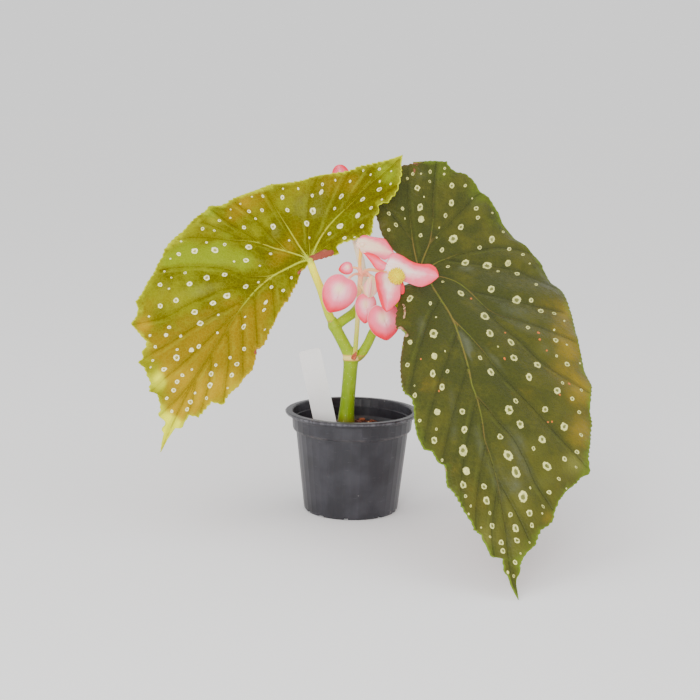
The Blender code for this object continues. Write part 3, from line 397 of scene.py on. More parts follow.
rightLeaf = {
    "joint": (46.8, -16.0, 160.6), "tip": (94.0, -185.9, 1.0), "across": (1.0, 0.25, 0.0),
    "arch": 15.0, "cup": 0.0052, "droop": 0.0018,
    "midrib": ([(-87, 6), (-50, 4), (0, 0), (39, 6), (97, 4), (144, 0), (238, 0)], 2),
    "narrow": ([(-87, 6), (-82, -6), (-68, -15), (-51, -24), (-27, -17), (-2, -3), (10, -17), (28, -26),
        (45, -31), (71, -35), (100, -39), (123, -38), (154, -29), (182, -23), (202, -14), (220, -5),
        (238, 0)], 5),
    "broad": ([(-87, 6), (-87, 28), (-73, 52), (-54, 69), (-19, 91), (1, 95), (38, 96), (92, 87), (127, 76),
        (161, 62), (177, 42), (202, 19), (223, 5), (238, 0)], 5),
    "rows": (84, 214), "columns": (44, 90), "tooth": 0.95, "toothPitch": 3.9,
    # the margin as read in the picture, from the back lobe's end to the tip
    "narrowOutline": [(425, 161), (418, 163.5), (402, 164), (390, 178), (380, 198), (374.8, 213.8),
        (378, 220), (382, 229.7), (386.7, 239.3), (392.3, 248.9), (400, 257), (412, 267), (425, 277),
        (415, 281), (405, 285.6), (400.5, 291), (397.6, 298.3), (397.8, 307), (396.3, 317.5), (397.1, 325.4),
        (401, 328.6), (404.5, 335), (402.7, 339.8), (401, 349.4), (400.3, 360.5), (401.9, 373.3),
        (402.5, 388), (404, 395.4), (410.5, 400.5), (412.7, 409.3), (414.2, 419.6), (417.9, 433.5),
        (421.5, 443), (423.5, 449), (431, 451.8), (434, 459.2), (437, 465), (442.8, 466.5), (445, 473.8),
        (447.2, 484.1), (455.2, 490), (460.4, 498.8), (463.3, 507.6), (467, 516.4), (470.6, 522.2),
        (473.6, 531), (480.9, 536.2), (485.3, 545.7), (491.2, 556), (502.6, 557.6), (503.6, 564.8),
        (504.4, 572.1), (508, 575), (510.2, 583.8), (514.6, 592.6)],
    "broadOutline": [(433.8, 160.4), (446.6, 161), (449.7, 166.7), (456.1, 171.5), (464.1, 172.8),
        (472.1, 179.5), (476.5, 184.3), (480, 191.5), (488.8, 197), (496, 207.4), (500, 214.6),
        (502.4, 221.8), (508, 229.7), (515.1, 239.3), (527.1, 247), (535.9, 256.9), (541.5, 263.2),
        (547, 274.4), (551.8, 284), (561.4, 291.1), (567.8, 301.5), (571.8, 312.7), (574.9, 327),
        (578.1, 341.4), (582.1, 355.7), (584.5, 370.1), (587.7, 378.1), (591.7, 386.8), (590.9, 399),
        (590.9, 409.3), (592.3, 423.3), (590.6, 434.3), (589.7, 448.9), (588.2, 457.7), (590.9, 472.4),
        (582.1, 476), (574.8, 484.8), (566, 492.2), (559.4, 500.2), (555, 512), (554.2, 518.6),
        (549.1, 524.4), (541, 529.6), (538.1, 536.9), (535.2, 545.7), (529.3, 550.8), (523.4, 558.2),
        (520.5, 564.8), (520.5, 572.1), (516.8, 578), (516.1, 583.8), (517.6, 591.1)],
    "wave": 1.4, "wavePitch": 47.0, "quilt": 1.7, "thickness": 0.7,
    # veins as read in the picture: points, how pale the line is at its start, where the paleness ends (mm)
    "veins": [
        ([(429, 278), (433, 287), (440, 298), (447, 309), (452, 318), (457, 330), (461, 342), (465, 355),
          (469, 370), (472, 385), (476, 395), (480, 410), (483, 425), (485, 440), (490, 455), (494, 468),
          (497, 480), (500, 495), (503, 512), (506, 530), (508, 550), (510, 568), (514, 585),
          (518, 599)], 1.0, 190),
        ([(453, 319), (460, 326), (468, 334), (476, 343), (484, 352), (490, 360), (505, 378), (522, 396),
          (540, 415), (560, 438), (586, 466)], 0.55, 60),
        ([(477, 396), (488, 408), (500, 423), (512, 436), (520, 450), (528, 465), (536, 484),
          (552, 508)], 0.3, 30),
        ([(492, 462), (500, 482), (510, 500), (520, 520), (529, 540)], 0.1, 10),
        ([(430, 275), (438, 276), (450, 279), (460, 284), (470, 292), (478, 300), (490, 311), (505, 317),
          (522, 321), (545, 329), (574, 341)], 0.8, 75),
        ([(468, 290), (485, 294), (505, 298), (530, 305), (562, 312)], 0.1, 20),
        ([(482, 304), (500, 325), (520, 341), (545, 365), (588, 392)], 0.1, 20),
        ([(430, 269), (434, 264), (445, 259), (459, 254), (478, 250), (500, 247), (532, 252)], 0.6, 40),
        ([(445, 259), (465, 262), (490, 266), (520, 272), (556, 288)], 0.1, 20),
        ([(421.5, 264), (424.5, 255), (429.3, 244), (431.3, 234), (433, 218), (433, 200), (434, 180),
          (436, 163)], 0.65, 60),
        ([(430, 244), (440, 232), (450, 224), (461, 212), (475, 196), (482, 191)], 0.3, 50),
        ([(418, 265), (415.6, 256), (413, 243.5), (411.3, 231), (409, 210), (408, 190),
          (408, 166)], 0.65, 50),
        ([(412, 240), (402, 226), (392, 214), (384, 207)], 0.2, 30),
        ([(440, 299), (430, 318), (421, 345), (414, 372), (409, 398)], 0.1, 15),
        ([(458, 332), (449, 356), (439, 384), (430, 414), (424, 445)], 0.1, 15),
        ([(468, 366), (460, 392), (452, 420), (446, 446), (442, 462)], 0.1, 15),
        ([(477, 398), (471, 425), (466, 452), (462, 478), (461, 505)], 0.1, 15),
        ([(486, 442), (481, 470), (477, 498), (476, 526)], 0.1, 10),
        ([(498, 486), (494, 512), (492, 535), (494, 553)], 0.1, 10),
    ],
    # spots as read off enlargements: the enlargement's corner and scale, then each one's across, down, width
    "spots": [
        ((370, 150, 6.27), [
            (268, 150, 24), (376, 137, 26), (467, 115, 20), (318, 155, 14), (235, 176, 20), (373, 197, 20),
            (463, 155, 18), (295, 243, 38), (510, 233, 36), (594, 230, 22), (336, 298, 12), (641, 302, 12),
            (202, 371, 26), (118, 397, 28), (312, 364, 44), (318, 440, 44), (508, 337, 40), (664, 370, 34),
            (471, 415, 28), (764, 400, 16), (218, 430, 12), (162, 470, 30), (673, 432, 28), (568, 488, 40),
            (117, 505, 22), (433, 487, 10), (832, 520, 20), (316, 540, 26), (519, 565, 58), (762, 565, 42),
            (687, 611, 30), (874, 620, 28), (449, 632, 30), (418, 548, 10), (958, 657, 24), (597, 708, 48),
            (734, 726, 58), (864, 712, 40), (997, 720, 14), (487, 737, 24), (801, 765, 20), (922, 778, 34),
            (455, 832, 20), (1038, 852, 22), (567, 905, 44), (758, 877, 42), (248, 940, 42), (377, 964, 24),
            (919, 941, 58), (1009, 945, 30), (1069, 1013, 40), (1153, 1028, 28), (717, 1048, 58),
            (1214, 1080, 14), (415, 1050, 14), (989, 1118, 30), (1154, 1130, 12), (398, 1156, 58),
            (748, 1158, 48), (881, 1213, 46), (1161, 1200, 36), (251, 1207, 32), (1230, 1227, 14),
            (798, 1242, 12), (401, 1300, 44), (689, 1308, 32), (469, 1263, 14), (898, 1313, 46),
            (1165, 1300, 20), (1048, 1352, 50), (1232, 1352, 34), (235, 1348, 30), (1315, 1338, 12),
            (391, 1407, 44), (756, 1397, 50), (486, 1388, 26), (993, 1433, 46)]),
        ((390, 380, 6.82), [
            (169, 38, 14), (355, 48, 46), (170, 105, 34), (1173, 27, 26), (1304, 70, 24), (1136, 83, 50),
            (1238, 139, 32), (854, 150, 40), (1056, 205, 42), (1285, 228, 28), (493, 217, 44), (322, 220, 48),
            (809, 213, 62), (884, 310, 54), (203, 277, 26), (1184, 326, 56), (1299, 383, 26), (506, 340, 50),
            (301, 415, 46), (316, 338, 20), (749, 393, 44), (1033, 415, 54), (1275, 491, 32), (976, 474, 30),
            (498, 482, 74), (803, 522, 72), (1186, 546, 38), (1066, 597, 64), (856, 637, 74), (1264, 600, 20),
            (521, 620, 56), (355, 545, 24), (500, 714, 50), (1146, 684, 28), (641, 727, 42), (1084, 768, 32),
            (516, 790, 26), (657, 825, 52), (903, 803, 74), (953, 740, 18), (1042, 865, 26), (1202, 739, 12),
            (680, 907, 26), (821, 919, 38), (949, 912, 46), (551, 860, 18), (537, 912, 16), (697, 993, 40),
            (1034, 915, 16), (856, 1014, 54), (966, 993, 32), (622, 1006, 14), (683, 1068, 18),
            (864, 1098, 42), (757, 1109, 40), (951, 1107, 16), (769, 1166, 40), (889, 1183, 14),
            (853, 1243, 34), (804, 1310, 24), (844, 1335, 24)]),
    ],
    "spotSize": 0.95,
    # orange nicks, in picture points: across, down, width
    "nicks": [(471, 299, 2.6), (538, 334, 3.4), (539, 341, 2.6), (505, 333, 2.0), (504, 360, 2.8),
        (421, 359, 2.0), (439, 391, 2.0), (546, 352, 2.0), (559, 396, 2.4), (569, 384, 3.0), (548, 422, 2.0),
        (552, 422, 2.0)],
    # soft patches in picture points: across, down, radius and amount, or two radii, a turn in degrees and
    # amount. Tones lean to gold above zero and to green below it. Lights are painted light and shade: painted
    # light above zero and painted shade in the deep colour below it. Sheens are a painted grey sheen that
    # stands in for the reflections of a glossy skin, and slants make the spots there longer
    "tones": [(569, 312, 14, 0.62), (571, 348, 17, 0.72), (582, 390, 17, 0.78), (582, 432, 18, 0.72),
        (556, 330, 12, 0.3), (548, 518, 12, 0.42), (556, 490, 9, 0.25), (431, 385, 15, 0.36),
        (437, 446, 15, 0.22), (449, 468, 14, 0.16), (462, 480, 15, 0.18), (477, 502, 16, 0.3),
        (505, 525, 12, 0.15), (560, 372, 18, 0.35), (500, 220, 14, -0.5), (478, 192, 14, -0.6),
        (440, 168, 18, -0.5), (541, 270, 14, -0.3), (505, 345, 22, 0.15), (520, 400, 20, 0.2),
        (545, 300, 18, 0.25), (586, 468, 12, -0.5), (455, 395, 14, 0.2), (540, 480, 16, -0.2),
        (520, 560, 14, -0.5), (535, 540, 10, -0.4), (422, 436, 9, -0.4), (490, 550, 10, -0.4),
        (408, 395, 8, -0.3)],
    "lights": [(440, 300, 22, -0.7), (470, 330, 16, -0.5), (425, 330, 14, -0.4), (500, 300, 18, -0.3),
        (560, 410, 14, 0.15), (470, 430, 14, -0.3), (520, 550, 22, 0.26), (480, 525, 16, 0.2),
        (575, 464, 15, 0.5), (400, 200, 16, -0.3), (430, 242, 20, -0.4), (543, 350, 14, 0.22),
        (572, 345, 10, 0.2), (582, 388, 9, 0.15), (440, 375, 30, -0.15), (455, 382, 22, -0.2),
        (500, 378, 18, -0.35), (507, 400, 13, -0.2), (535, 447, 16, 0.2), (546, 480, 18, 0.24),
        (515, 506, 20, 0.3), (490, 538, 11, 0.3), (525, 258, 12, 0.22), (507, 240, 12, 0.2),
        (453, 468, 12, -0.5)],
    "sheens": [(466, 269, 11, 5, 0, 0.6), (421, 326, 6, 12, 0, 0.5), (466, 343, 15, 5, 62, 0.8),
        (494, 360, 22, 4, 50, 0.45), (515, 313, 26, 7, 18, 0.42), (524, 330, 18, 5, 20, 0.35),
        (452, 398, 16, 6, 85, 0.3), (454, 430, 18, 7, 88, 0.34), (479, 443, 28, 6, 78, 0.32),
        (498, 484, 28, 7, 72, 0.36), (518, 439, 17, 7, 52, 0.36), (523, 463, 24, 6, 58, 0.34),
        (515, 487, 12, 7, 60, 0.4), (422, 176, 9, 6, 0, 0.35), (478, 205, 22, 13, 40, 0.28),
        (549, 352, 15, 8, 30, 0.3), (510, 540, 15, 6, 75, 0.35), (465, 346, 14, 1.3, 66, 0.9),
        (500, 250, 22, 9, 10, 0.22), (430, 228, 9, 20, 0, 0.2), (512, 464, 50, 20, 62, 0.2)],
    "slants": [(470, 262, 25, 0.12), (500, 470, 90, 0.1)],
    # rolled-up stretches of the margin: picture points and width
    "curls": [([(403.6, 306), (404.4, 313), (403.4, 320)], 0.7), ([(400, 329), (403.5, 332),
        (406, 336)], 1.8), ([(402, 338), (401.5, 347)], 0.9), ([(443, 466), (444.5, 470)], 1.1)],
    # among the colours, both bright ones are painted light, sheen is a painted grey sheen, groove is painted
    # shade in the vein grooves and also colours fine flecks, and deep is partly painted shade
    "colours": {
        "main": (0.082, 0.08, 0.01), "deep": (0.042, 0.049, 0.008), "green": (0.095, 0.132, 0.008),
        "bright": (0.24, 0.24, 0.05), "gold": (0.25, 0.172, 0.009), "margin": (0.15, 0.235, 0.012),
        "narrowRim": (0.1, 0.055, 0.02), "vein": (0.14, 0.16, 0.02), "veinWarm": (0.2, 0.135, 0.03),
        "groove": (0.034, 0.04, 0.008), "ring": (0.78, 0.77, 0.27), "heart": (0.085, 0.095, 0.012),
        "sheen": (0.125, 0.135, 0.085), "nick": (0.66, 0.17, 0.03), "under": (0.24, 0.075, 0.045),
        "underDeep": (0.15, 0.04, 0.03), "underVein": (0.32, 0.16, 0.07), "goldBright": (0.34, 0.24, 0.03),
        "curl": (0.55, 0.32, 0.18)},
    # heights in millimetres below and above which the rim is green on the narrow side too
    "rimBelow": (92, 112), "rimAbove": (400, 401),
    # valley sets how strong the painted shade in the vein grooves is
    "rimGlow": 0.4, "glowWidth": 5.5, "marginWidth": 1.3, "valley": 0.42, "roughness": 0.34, "gloss": 0.13,
}

leftLeaf = {
    "joint": (-29.3, -17.0, 169.5), "tip": (-119.0, -75.0, 55.0), "across": (-0.75, 0.25, 0.66),
    "arch": 13.0, "cup": 0.0058, "droop": 0.0018,
    "midrib": ([(-90, -8), (-45, 4), (0, 0), (19, 6), (37, 11), (55, 11), (100, 8), (157, 0)], 2),
    "narrow": ([(-90, -8), (-74, -18), (-57, -15), (-41, -20), (-28, -13), (-17, -12), (-7, -6.5), (-1, -2.5),
        (10, -1.5), (27, -3), (54, -9), (75, -12), (95, -16), (111, -13), (127, -6), (143, -2), (157, 0)], 7),
    "broad": ([(-90, -8), (-71, 11), (-56, 29), (-30, 55), (-5, 69), (18, 80), (52, 80), (80, 75), (104, 61),
        (121, 43), (140, 14), (157, 0)], 4),
    "rows": (100, 180), "columns": (32, 92), "tooth": 1.25, "toothPitch": 3.6,
    "narrowOutline": [(401.4, 164), (401.8, 173.5), (399.6, 183.7), (398.6, 188.8), (394.5, 195.9),
        (390.4, 198.9), (389.6, 202.5), (381.9, 203.2), (378.4, 206.7), (379.8, 212.3), (374.2, 217.9),
        (373.5, 224.9), (372.1, 234.4), (365.8, 236.1), (353.9, 239.3), (342.6, 242.5), (336.5, 247.2),
        (339.8, 254.4), (332.2, 256.4), (322, 259.6), (313, 261.6), (308.6, 262.5), (304.7, 269.4),
        (300.6, 272.4), (297.5, 282.7), (292.4, 290.8), (288.4, 300), (283.3, 306.1), (278.2, 315.3),
        (274.1, 324.5), (270, 329.6), (266.9, 338.8), (262.9, 345.9), (256.7, 350), (255.7, 360.2),
        (252.7, 371.4), (244.5, 378.6), (239.4, 385.7), (230.2, 392.9), (226.1, 398), (223.7, 404.5),
        (211.8, 402), (205.7, 409.2), (198.6, 417.8), (189.4, 415.3), (185.3, 421.4), (182.2, 428.4),
        (175.1, 428), (170, 435.7), (164.9, 442.9)],
    "broadOutline": [(393.5, 157.8), (385.3, 160.2), (375.1, 162.7), (365.9, 164.7), (358.8, 165.9),
        (352.7, 169.4), (344.5, 171.4), (332.2, 172.9), (321, 174.1), (311.8, 176.5), (303.7, 179.6),
        (293.5, 181.6), (283.3, 182.7), (271, 183.7), (262.9, 186.7), (252.7, 190.8), (240.4, 194.9),
        (232.2, 199), (226.1, 203.1), (219, 205.4), (208.8, 205.5), (204.7, 211.2), (195.5, 217.3),
        (188.4, 224.5), (183.3, 230.6), (175.1, 236.7), (169, 242.9), (163.9, 250), (161.8, 257.1),
        (156.7, 264.3), (152.7, 274.5), (146.5, 282.7), (141.4, 292.9), (135, 302), (137.6, 307.6),
        (135.8, 316.3), (130.2, 323.5), (136.5, 330.6), (141.4, 336.7), (146.5, 341.8), (145.5, 346.9),
        (140.8, 352), (142.8, 356.6), (137, 361.2), (144.5, 366.8), (146.5, 374.5), (150.6, 382.7),
        (148.6, 392), (156.7, 393.2), (158.8, 400), (160.8, 407.6), (158, 415.3), (163.9, 419.2),
        (165.9, 422.4), (161.4, 429), (163.9, 433), (161.8, 441.8)],
    "wave": 1.4, "wavePitch": 47.0, "quilt": 1.9, "thickness": 0.7,
    "veins": [
        ([(309, 260), (300, 262), (290, 267), (280, 272), (270, 278), (260, 286), (252, 294), (245, 303),
          (238, 312), (228, 328), (214, 349), (198, 375), (184, 400), (171, 428), (162, 450)], 1.0, 74),
        ([(283, 271), (270, 276), (255, 277), (245, 276), (235, 272), (222, 268), (208, 267), (195, 266),
          (180, 267), (165, 269), (150, 271)], 0.5, 25),
        ([(264, 283), (250, 285), (236, 287), (220, 290), (205, 297), (188, 304), (168, 316),
          (134, 324)], 0.25, 20),
        ([(250, 297), (232, 306), (212, 316), (190, 329), (166, 345), (140, 361)], 0.2, 15),
        ([(239, 311), (222, 326), (203, 344), (184, 362), (165, 378), (151, 391)], 0.2, 15),
        ([(226, 331), (211, 354), (195, 377), (178, 398), (161, 414)], 0.1, 10),
        ([(290, 267), (290, 277), (291, 290)], 0.2, 10),
        ([(272, 277), (273, 292), (275, 318)], 0.2, 10),
        ([(254, 292), (256, 315), (258, 350)], 0.2, 10),
        ([(241, 309), (243, 338), (244, 380)], 0.2, 10),
        ([(228, 328), (229, 358), (224, 402)], 0.1, 10),
        ([(212, 353), (209, 384), (199, 417)], 0.1, 10),
        ([(196, 379), (192, 402), (183, 426)], 0.1, 10),
        ([(308, 259), (298, 255), (285, 251), (273, 248), (262, 244), (248, 241), (230, 240), (210, 238),
          (192, 237), (172, 240)], 0.85, 55),
        ([(308, 258), (301, 249), (294, 238), (288, 228), (282, 219), (276, 209), (268, 196),
          (262, 185)], 0.8, 45),
        ([(287, 251), (275, 239), (262, 226), (250, 214), (236, 203)], 0.3, 30),
        ([(262, 244), (244, 232), (228, 222), (212, 210)], 0.1, 20),
        ([(248, 241), (225, 231), (205, 223), (190, 221)], 0.1, 20),
        ([(311, 258), (315, 248), (320, 238), (327, 228), (335, 219), (343, 211), (358, 197), (376, 181),
          (398, 161)], 0.9, 55),
        ([(310, 258), (309, 243), (308, 225), (309, 205), (313, 188), (318, 173)], 0.35, 30),
        ([(324, 232), (330, 215), (338, 196), (350, 170)], 0.2, 20),
        ([(345, 209), (354, 195), (366, 178), (378, 160)], 0.1, 15),
        ([(312, 257), (325, 247), (340, 237), (358, 226), (374, 216)], 0.3, 25),
        ([(343, 211), (360, 204), (380, 196), (396, 186)], 0.1, 15),
    ],
    "spots": [
        ((120, 150, 4.9), [
            (1272, 93, 16), (1330, 103, 10), (1192, 101, 12), (1229, 120, 12), (1274, 153, 13),
            (1326, 165, 12), (1128, 155, 15), (1055, 150, 13), (993, 170, 17), (987, 208, 26), (943, 222, 18),
            (873, 193, 14), (799, 194, 12), (1271, 193, 24), (1085, 227, 26), (1189, 241, 22),
            (1284, 241, 11), (1230, 284, 17), (1052, 286, 17), (945, 299, 37), (915, 360, 30),
            (1165, 322, 26), (1078, 374, 32), (1186, 374, 20), (1026, 411, 18), (1101, 430, 19),
            (928, 430, 12), (1150, 426, 8), (796, 236, 23), (820, 296, 23), (700, 228, 17), (647, 232, 11),
            (696, 298, 20), (632, 301, 21), (664, 337, 14), (590, 264, 11), (543, 294, 9), (541, 334, 12),
            (487, 348, 17), (751, 378, 29), (608, 380, 21), (462, 396, 14), (405, 388, 20), (828, 445, 13),
            (738, 511, 17), (631, 478, 34), (617, 545, 28), (513, 465, 20), (424, 455, 14), (465, 494, 36),
            (367, 499, 33), (289, 514, 22), (248, 535, 9), (559, 549, 11), (685, 570, 11), (300, 448, 12),
            (218, 596, 12), (319, 605, 18), (252, 629, 12), (425, 630, 32), (513, 613, 26), (341, 660, 28),
            (241, 684, 12), (198, 664, 24), (616, 670, 28), (678, 648, 12), (742, 672, 20), (840, 626, 16),
            (799, 690, 19), (714, 748, 21), (524, 716, 36), (455, 752, 30), (275, 739, 28), (198, 766, 26),
            (706, 786, 17), (366, 796, 32), (394, 849, 32), (482, 808, 14), (142, 815, 12), (606, 866, 26),
            (613, 818, 10), (710, 880, 10), (478, 896, 14), (241, 872, 20), (226, 908, 22), (298, 912, 17),
            (148, 912, 14), (174, 964, 18), (386, 962, 24), (350, 980, 27), (281, 980, 16), (277, 1018, 34),
            (608, 975, 22), (540, 1018, 17), (573, 1050, 24), (162, 1032, 16), (216, 1075, 26),
            (152, 1065, 10), (470, 1054, 17), (447, 1097, 28), (548, 1103, 24), (306, 1105, 20),
            (352, 1076, 14), (280, 1138, 24), (441, 1153, 30), (263, 1178, 26), (230, 1217, 18),
            (424, 1215, 18), (345, 1234, 26), (368, 1190, 14), (329, 1270, 22), (254, 1280, 18),
            (528, 1165, 12)]),
    ],
    "spotSize": 0.92,
    "nicks": [],
    "tones": [(256, 200, 15, 0.6), (238, 208, 12, 0.6), (228, 224, 14, 0.45), (205, 235, 11, 0.4),
        (282, 255, 12, 0.6), (215, 345, 32, 0.8), (198, 380, 34, 0.9), (245, 350, 24, 0.9),
        (182, 402, 24, 0.5), (160, 348, 18, 0.8), (143, 325, 9, 1.2), (255, 318, 20, 0.7),
        (285, 200, 14, 0.3), (300, 185, 14, 0.4), (270, 300, 14, 0.5), (184, 322, 18, 0.3),
        (215, 255, 16, -1.0), (186, 255, 15, -0.9), (243, 261, 13, -0.7), (355, 212, 16, -0.3),
        (388, 172, 13, -0.8), (330, 225, 14, -0.3), (195, 288, 13, -0.4), (211, 212, 9, -0.9),
        (168, 262, 8, -0.8), (228, 232, 9, -0.6), (164, 432, 14, -0.9), (156, 383, 9, -0.7),
        (165, 295, 10, 0.35), (212, 300, 12, 0.1), (297, 228, 12, 0.35), (328, 182, 15, 0.5),
        (352, 180, 13, 0.4), (148, 305, 10, 0.5), (232, 300, 12, 0.4), (290, 245, 11, 0.4),
        (270, 262, 10, 0.3), (350, 195, 14, 0.25)],
    "lights": [(168, 425, 17, 1.2), (180, 410, 16, 0.55), (165, 445, 12, 1.2), (156, 383, 9, 0.5),
        (143, 325, 8, 0.9), (200, 392, 20, 0.5), (225, 382, 18, 0.5), (182, 375, 16, 0.45),
        (150, 300, 14, 0.15), (245, 202, 9, 0.4), (190, 225, 12, 0.25), (150, 355, 12, 0.35),
        (350, 197, 30, -0.9), (378, 185, 14, -0.8), (286, 247, 20, -0.9), (308, 205, 22, -0.15),
        (215, 335, 26, -0.3), (250, 330, 16, -0.3), (185, 345, 16, -0.2), (245, 285, 16, -0.4),
        (200, 300, 14, -0.05), (330, 240, 12, -0.3), (170, 260, 9, 0.15), (300, 192, 18, 0.12),
        (267, 221, 12, 0.2), (213, 221, 9, 0.25), (177, 240, 9, 0.25), (178, 300, 14, 0.22),
        (200, 314, 13, 0.15), (164, 375, 12, 0.45), (248, 360, 12, 0.35), (204, 403, 14, 0.35),
        (231, 383, 11, 0.2)],
    "sheens": [(300, 215, 9, 18, 0, 0.2), (276, 232, 8, 12, 20, 0.4), (205, 290, 24, 8, 168, 0.5),
        (225, 262, 26, 6, 5, 0.3), (212, 318, 20, 5, 155, 0.35), (325, 185, 16, 8, 120, 0.2),
        (215, 225, 16, 6, 30, 0.3), (262, 262, 20, 4, 15, 0.3), (165, 290, 14, 6, 120, 0.3),
        (302, 202, 30, 15, 0, 0.3), (320, 215, 15, 11, 0, 0.25)],
    "slants": [(365, 205, 45, 0.26), (262, 315, 28, 0.34)],
    "curls": [([(312, 260), (319, 257), (325, 254)], 3.9), ([(325, 254), (331, 253.2)], 2.6), ([(258, 349),
        (255.5, 353)], 1.0), ([(303, 270), (299, 273)], 1.2)],
    "colours": {
        "main": (0.2, 0.2, 0.001), "deep": (0.09, 0.08, 0.002), "green": (0.205, 0.258, 0.002),
        "bright": (0.86, 0.87, 0.006), "gold": (0.245, 0.155, 0.001), "margin": (0.56, 0.62, 0.01),
        "narrowRim": (0.48, 0.32, 0.01), "vein": (0.46, 0.52, 0.03), "veinWarm": (0.44, 0.42, 0.03),
        "groove": (0.112, 0.09, 0.001), "ring": (1.0, 0.98, 0.55), "heart": (0.3, 0.26, 0.01),
        "sheen": (0.25, 0.26, 0.045), "nick": (0.66, 0.2, 0.03), "under": (0.36, 0.085, 0.06),
        "underDeep": (0.22, 0.055, 0.032), "goldBright": (0.44, 0.27, 0.002), "curl": (0.3, 0.07, 0.045),
        "underVein": (0.45, 0.33, 0.1)},
    "rimBelow": (75, 100), "rimAbove": (162, 172),
    "rimGlow": 0.62, "glowWidth": 5.0, "marginWidth": 1.1, "valley": 0.36, "roughness": 0.45, "gloss": 0.05,
}


# What both leaves share, in millimetres: the curve points for each row of a table, the saw of the margin, its
# waves, and the swelling between the veins. The spots' radii are picture points, their reach is in radii
leafForm = {
    "curveSteps": 12, "toothRise": 0.68, "toothBend": 1.3, "toothDrift": 9.0, "toothCalm": 9,
    "calmReach": 25, "ripple": 0.7, "rippleWidth": 8.0, "rippleDepth": 7,
    "veinStep": 5, "valley": 6.5, "nearVein": 1.5, "flatRim": 9.0, "pucker": 0.2, "puckerWidth": 3.2,
    "puckerGap": 2.0, "curl": 1.6, "sink": 0.5,
    "spotTurn": 0.3, "spotStretch": (1.02, 1.18), "smallSpot": 1.5, "leastSpot": 1.0, "spotReach": 4.0,
    "noSpot": (0.0, 0.0, 9.0),
}


def alongLeaf(points, rows, bend):
    # evenly from the lobe's end to the row abreast of the joint, then evenly to the tip
    lobe = evenly(points[:bend + 1], rows[0] + 1)
    blade = evenly(points[bend:], rows[1] + 1)
    return np.vstack([lobe, blade[1:]])


def leafStations(line, rows):
    points, abreast = line
    steps = leafForm["curveSteps"]
    return alongLeaf(curveThrough(points, steps), rows, abreast * steps)


def toothedEdge(edge, spine, leaf, seed):
    # the edge pushed outward by a fine saw that leans to the tip
    form = leafForm
    out = edge - spine
    reach = np.linalg.norm(out, axis=1)
    out = out / np.maximum(reach, 1.0)[:, None]
    run = runOf(edge)
    drift = softNoise(run[:, None], form["toothDrift"], seed)
    fine = (run / leaf["toothPitch"] + 0.5 * drift) % 1.0
    rise = form["toothRise"]
    saw = np.where(fine < rise, fine / rise, (1 - fine) / (1 - rise)) ** form["toothBend"]
    index = np.arange(len(edge))
    ends = np.minimum(index, len(edge) - 1 - index)
    calm = np.clip(ends / form["toothCalm"], 0, 1) * np.clip(reach / form["toothCalm"], 0, 1)
    return edge + out * (leaf["tooth"] * (saw * (0.8 + 0.5 * drift) - 0.45) * calm)[:, None]


def leafSurface(leaf, traced=None):
    # straight lines from the midrib to the two toothed edges; the height over that flat plan is an arch from
    # joint to tip, a cup behind the joint, a droop with the square of the distance from the midrib, and waves
    form = leafForm
    joint = np.array(leaf["joint"])
    reached = np.array(leaf["tip"]) - joint
    length = np.linalg.norm(reached)
    along, across, out = axesOf(reached, leaf["across"])
    out = -out if out[1] > 0 else out
    spine = leafStations(leaf["midrib"], leaf["rows"])
    halves = []
    for side, count, seed in (("narrow", leaf["columns"][0], 3), ("broad", leaf["columns"][1], 8)):
        if traced:
            points = np.vstack([spine[:1], traced[side], spine[-1:]])
            beside = np.linalg.norm(points, axis=1) if side == "narrow" else np.abs(points[:, 0])
            edge = alongLeaf(points, leaf["rows"], int(np.argmin(beside)))
            toothed = toothedEdge(edge, spine, leaf, seed)
        else:
            edge = toothed = leafStations(leaf[side], leaf["rows"])
        run = runOf(edge)
        s = np.linspace(0, 1, count + 1)[None, :]
        flat = spine[:, None] * (1 - s[..., None]) + toothed[:, None] * s[..., None]
        reach = np.linalg.norm(toothed - spine, axis=1)
        calm = np.clip(reach / form["calmReach"], 0, 1)
        wave = leaf["wave"] * np.sin(2 * np.pi * run / leaf["wavePitch"]) * calm
        ripple = form["ripple"] * softNoise(run[:, None], form["rippleWidth"], seed + 4) * calm
        margin = (1 - s) * reach[:, None]
        lift = wave[:, None] * s ** 2 + ripple[:, None] * np.exp(-(margin / form["rippleDepth"]) ** 2)
        halves.append((flat, lift, margin))
    # the narrow half is turned round, so that the columns run from one edge over the midrib to the other
    flat, lift, margin = (np.concatenate([narrow[:, :0:-1], broad], axis=1) for narrow, broad in zip(*halves))
    side = np.where(np.arange(sum(leaf["columns"]) + 1) < leaf["columns"][0], -1.0, 1.0)[None, :]
    a, b = flat[..., 0], flat[..., 1]
    rise = 4 * leaf["arch"] / length
    height = np.where(a >= 0, rise * a * (1 - a / length), rise * a + leaf["cup"] * a ** 2)
    height = height - leaf["droop"] * b ** 2 + lift
    return {"flat": flat, "margin": margin, "side": side, "height": height, "joint": joint,
            "axes": np.array([along, across, out])}


def inSpace(surface, height):
    local = np.concatenate([surface["flat"], height[..., None]], axis=-1)
    return surface["joint"] + local @ surface["axes"]


def findOnBlade(surface, pictured, wanted):
    # the leaf's own coordinates under points of the picture: the mean of the blade's four nearest points
    flat = surface["flat"].reshape(-1, 2)
    seen = pictured.reshape(-1, 2)
    found = []
    for point in np.asarray(wanted, float):
        gap = np.sum((seen - point) ** 2, axis=1)
        near = np.argpartition(gap, 4)[:4]
        weight = 1 / (gap[near] + 0.02)
        found.append((flat[near] * weight[:, None]).sum(axis=0) / weight.sum())
    return np.array(found)


def findBesideBlade(surface, pictured, wanted, fitted=60):
    # the same for margin points, which may lie just off the blade: a plane fitted through the nearest points
    flat = surface["flat"].reshape(-1, 2)
    seen = pictured.reshape(-1, 2)
    found = []
    for point in np.asarray(wanted, float):
        near = np.argpartition(np.sum((seen - point) ** 2, axis=1), fitted)[:fitted]
        ways = np.column_stack([seen[near] - point, np.ones(fitted)])
        found.append(np.linalg.lstsq(ways, flat[near], rcond=None)[0][2])
    return np.array(found)


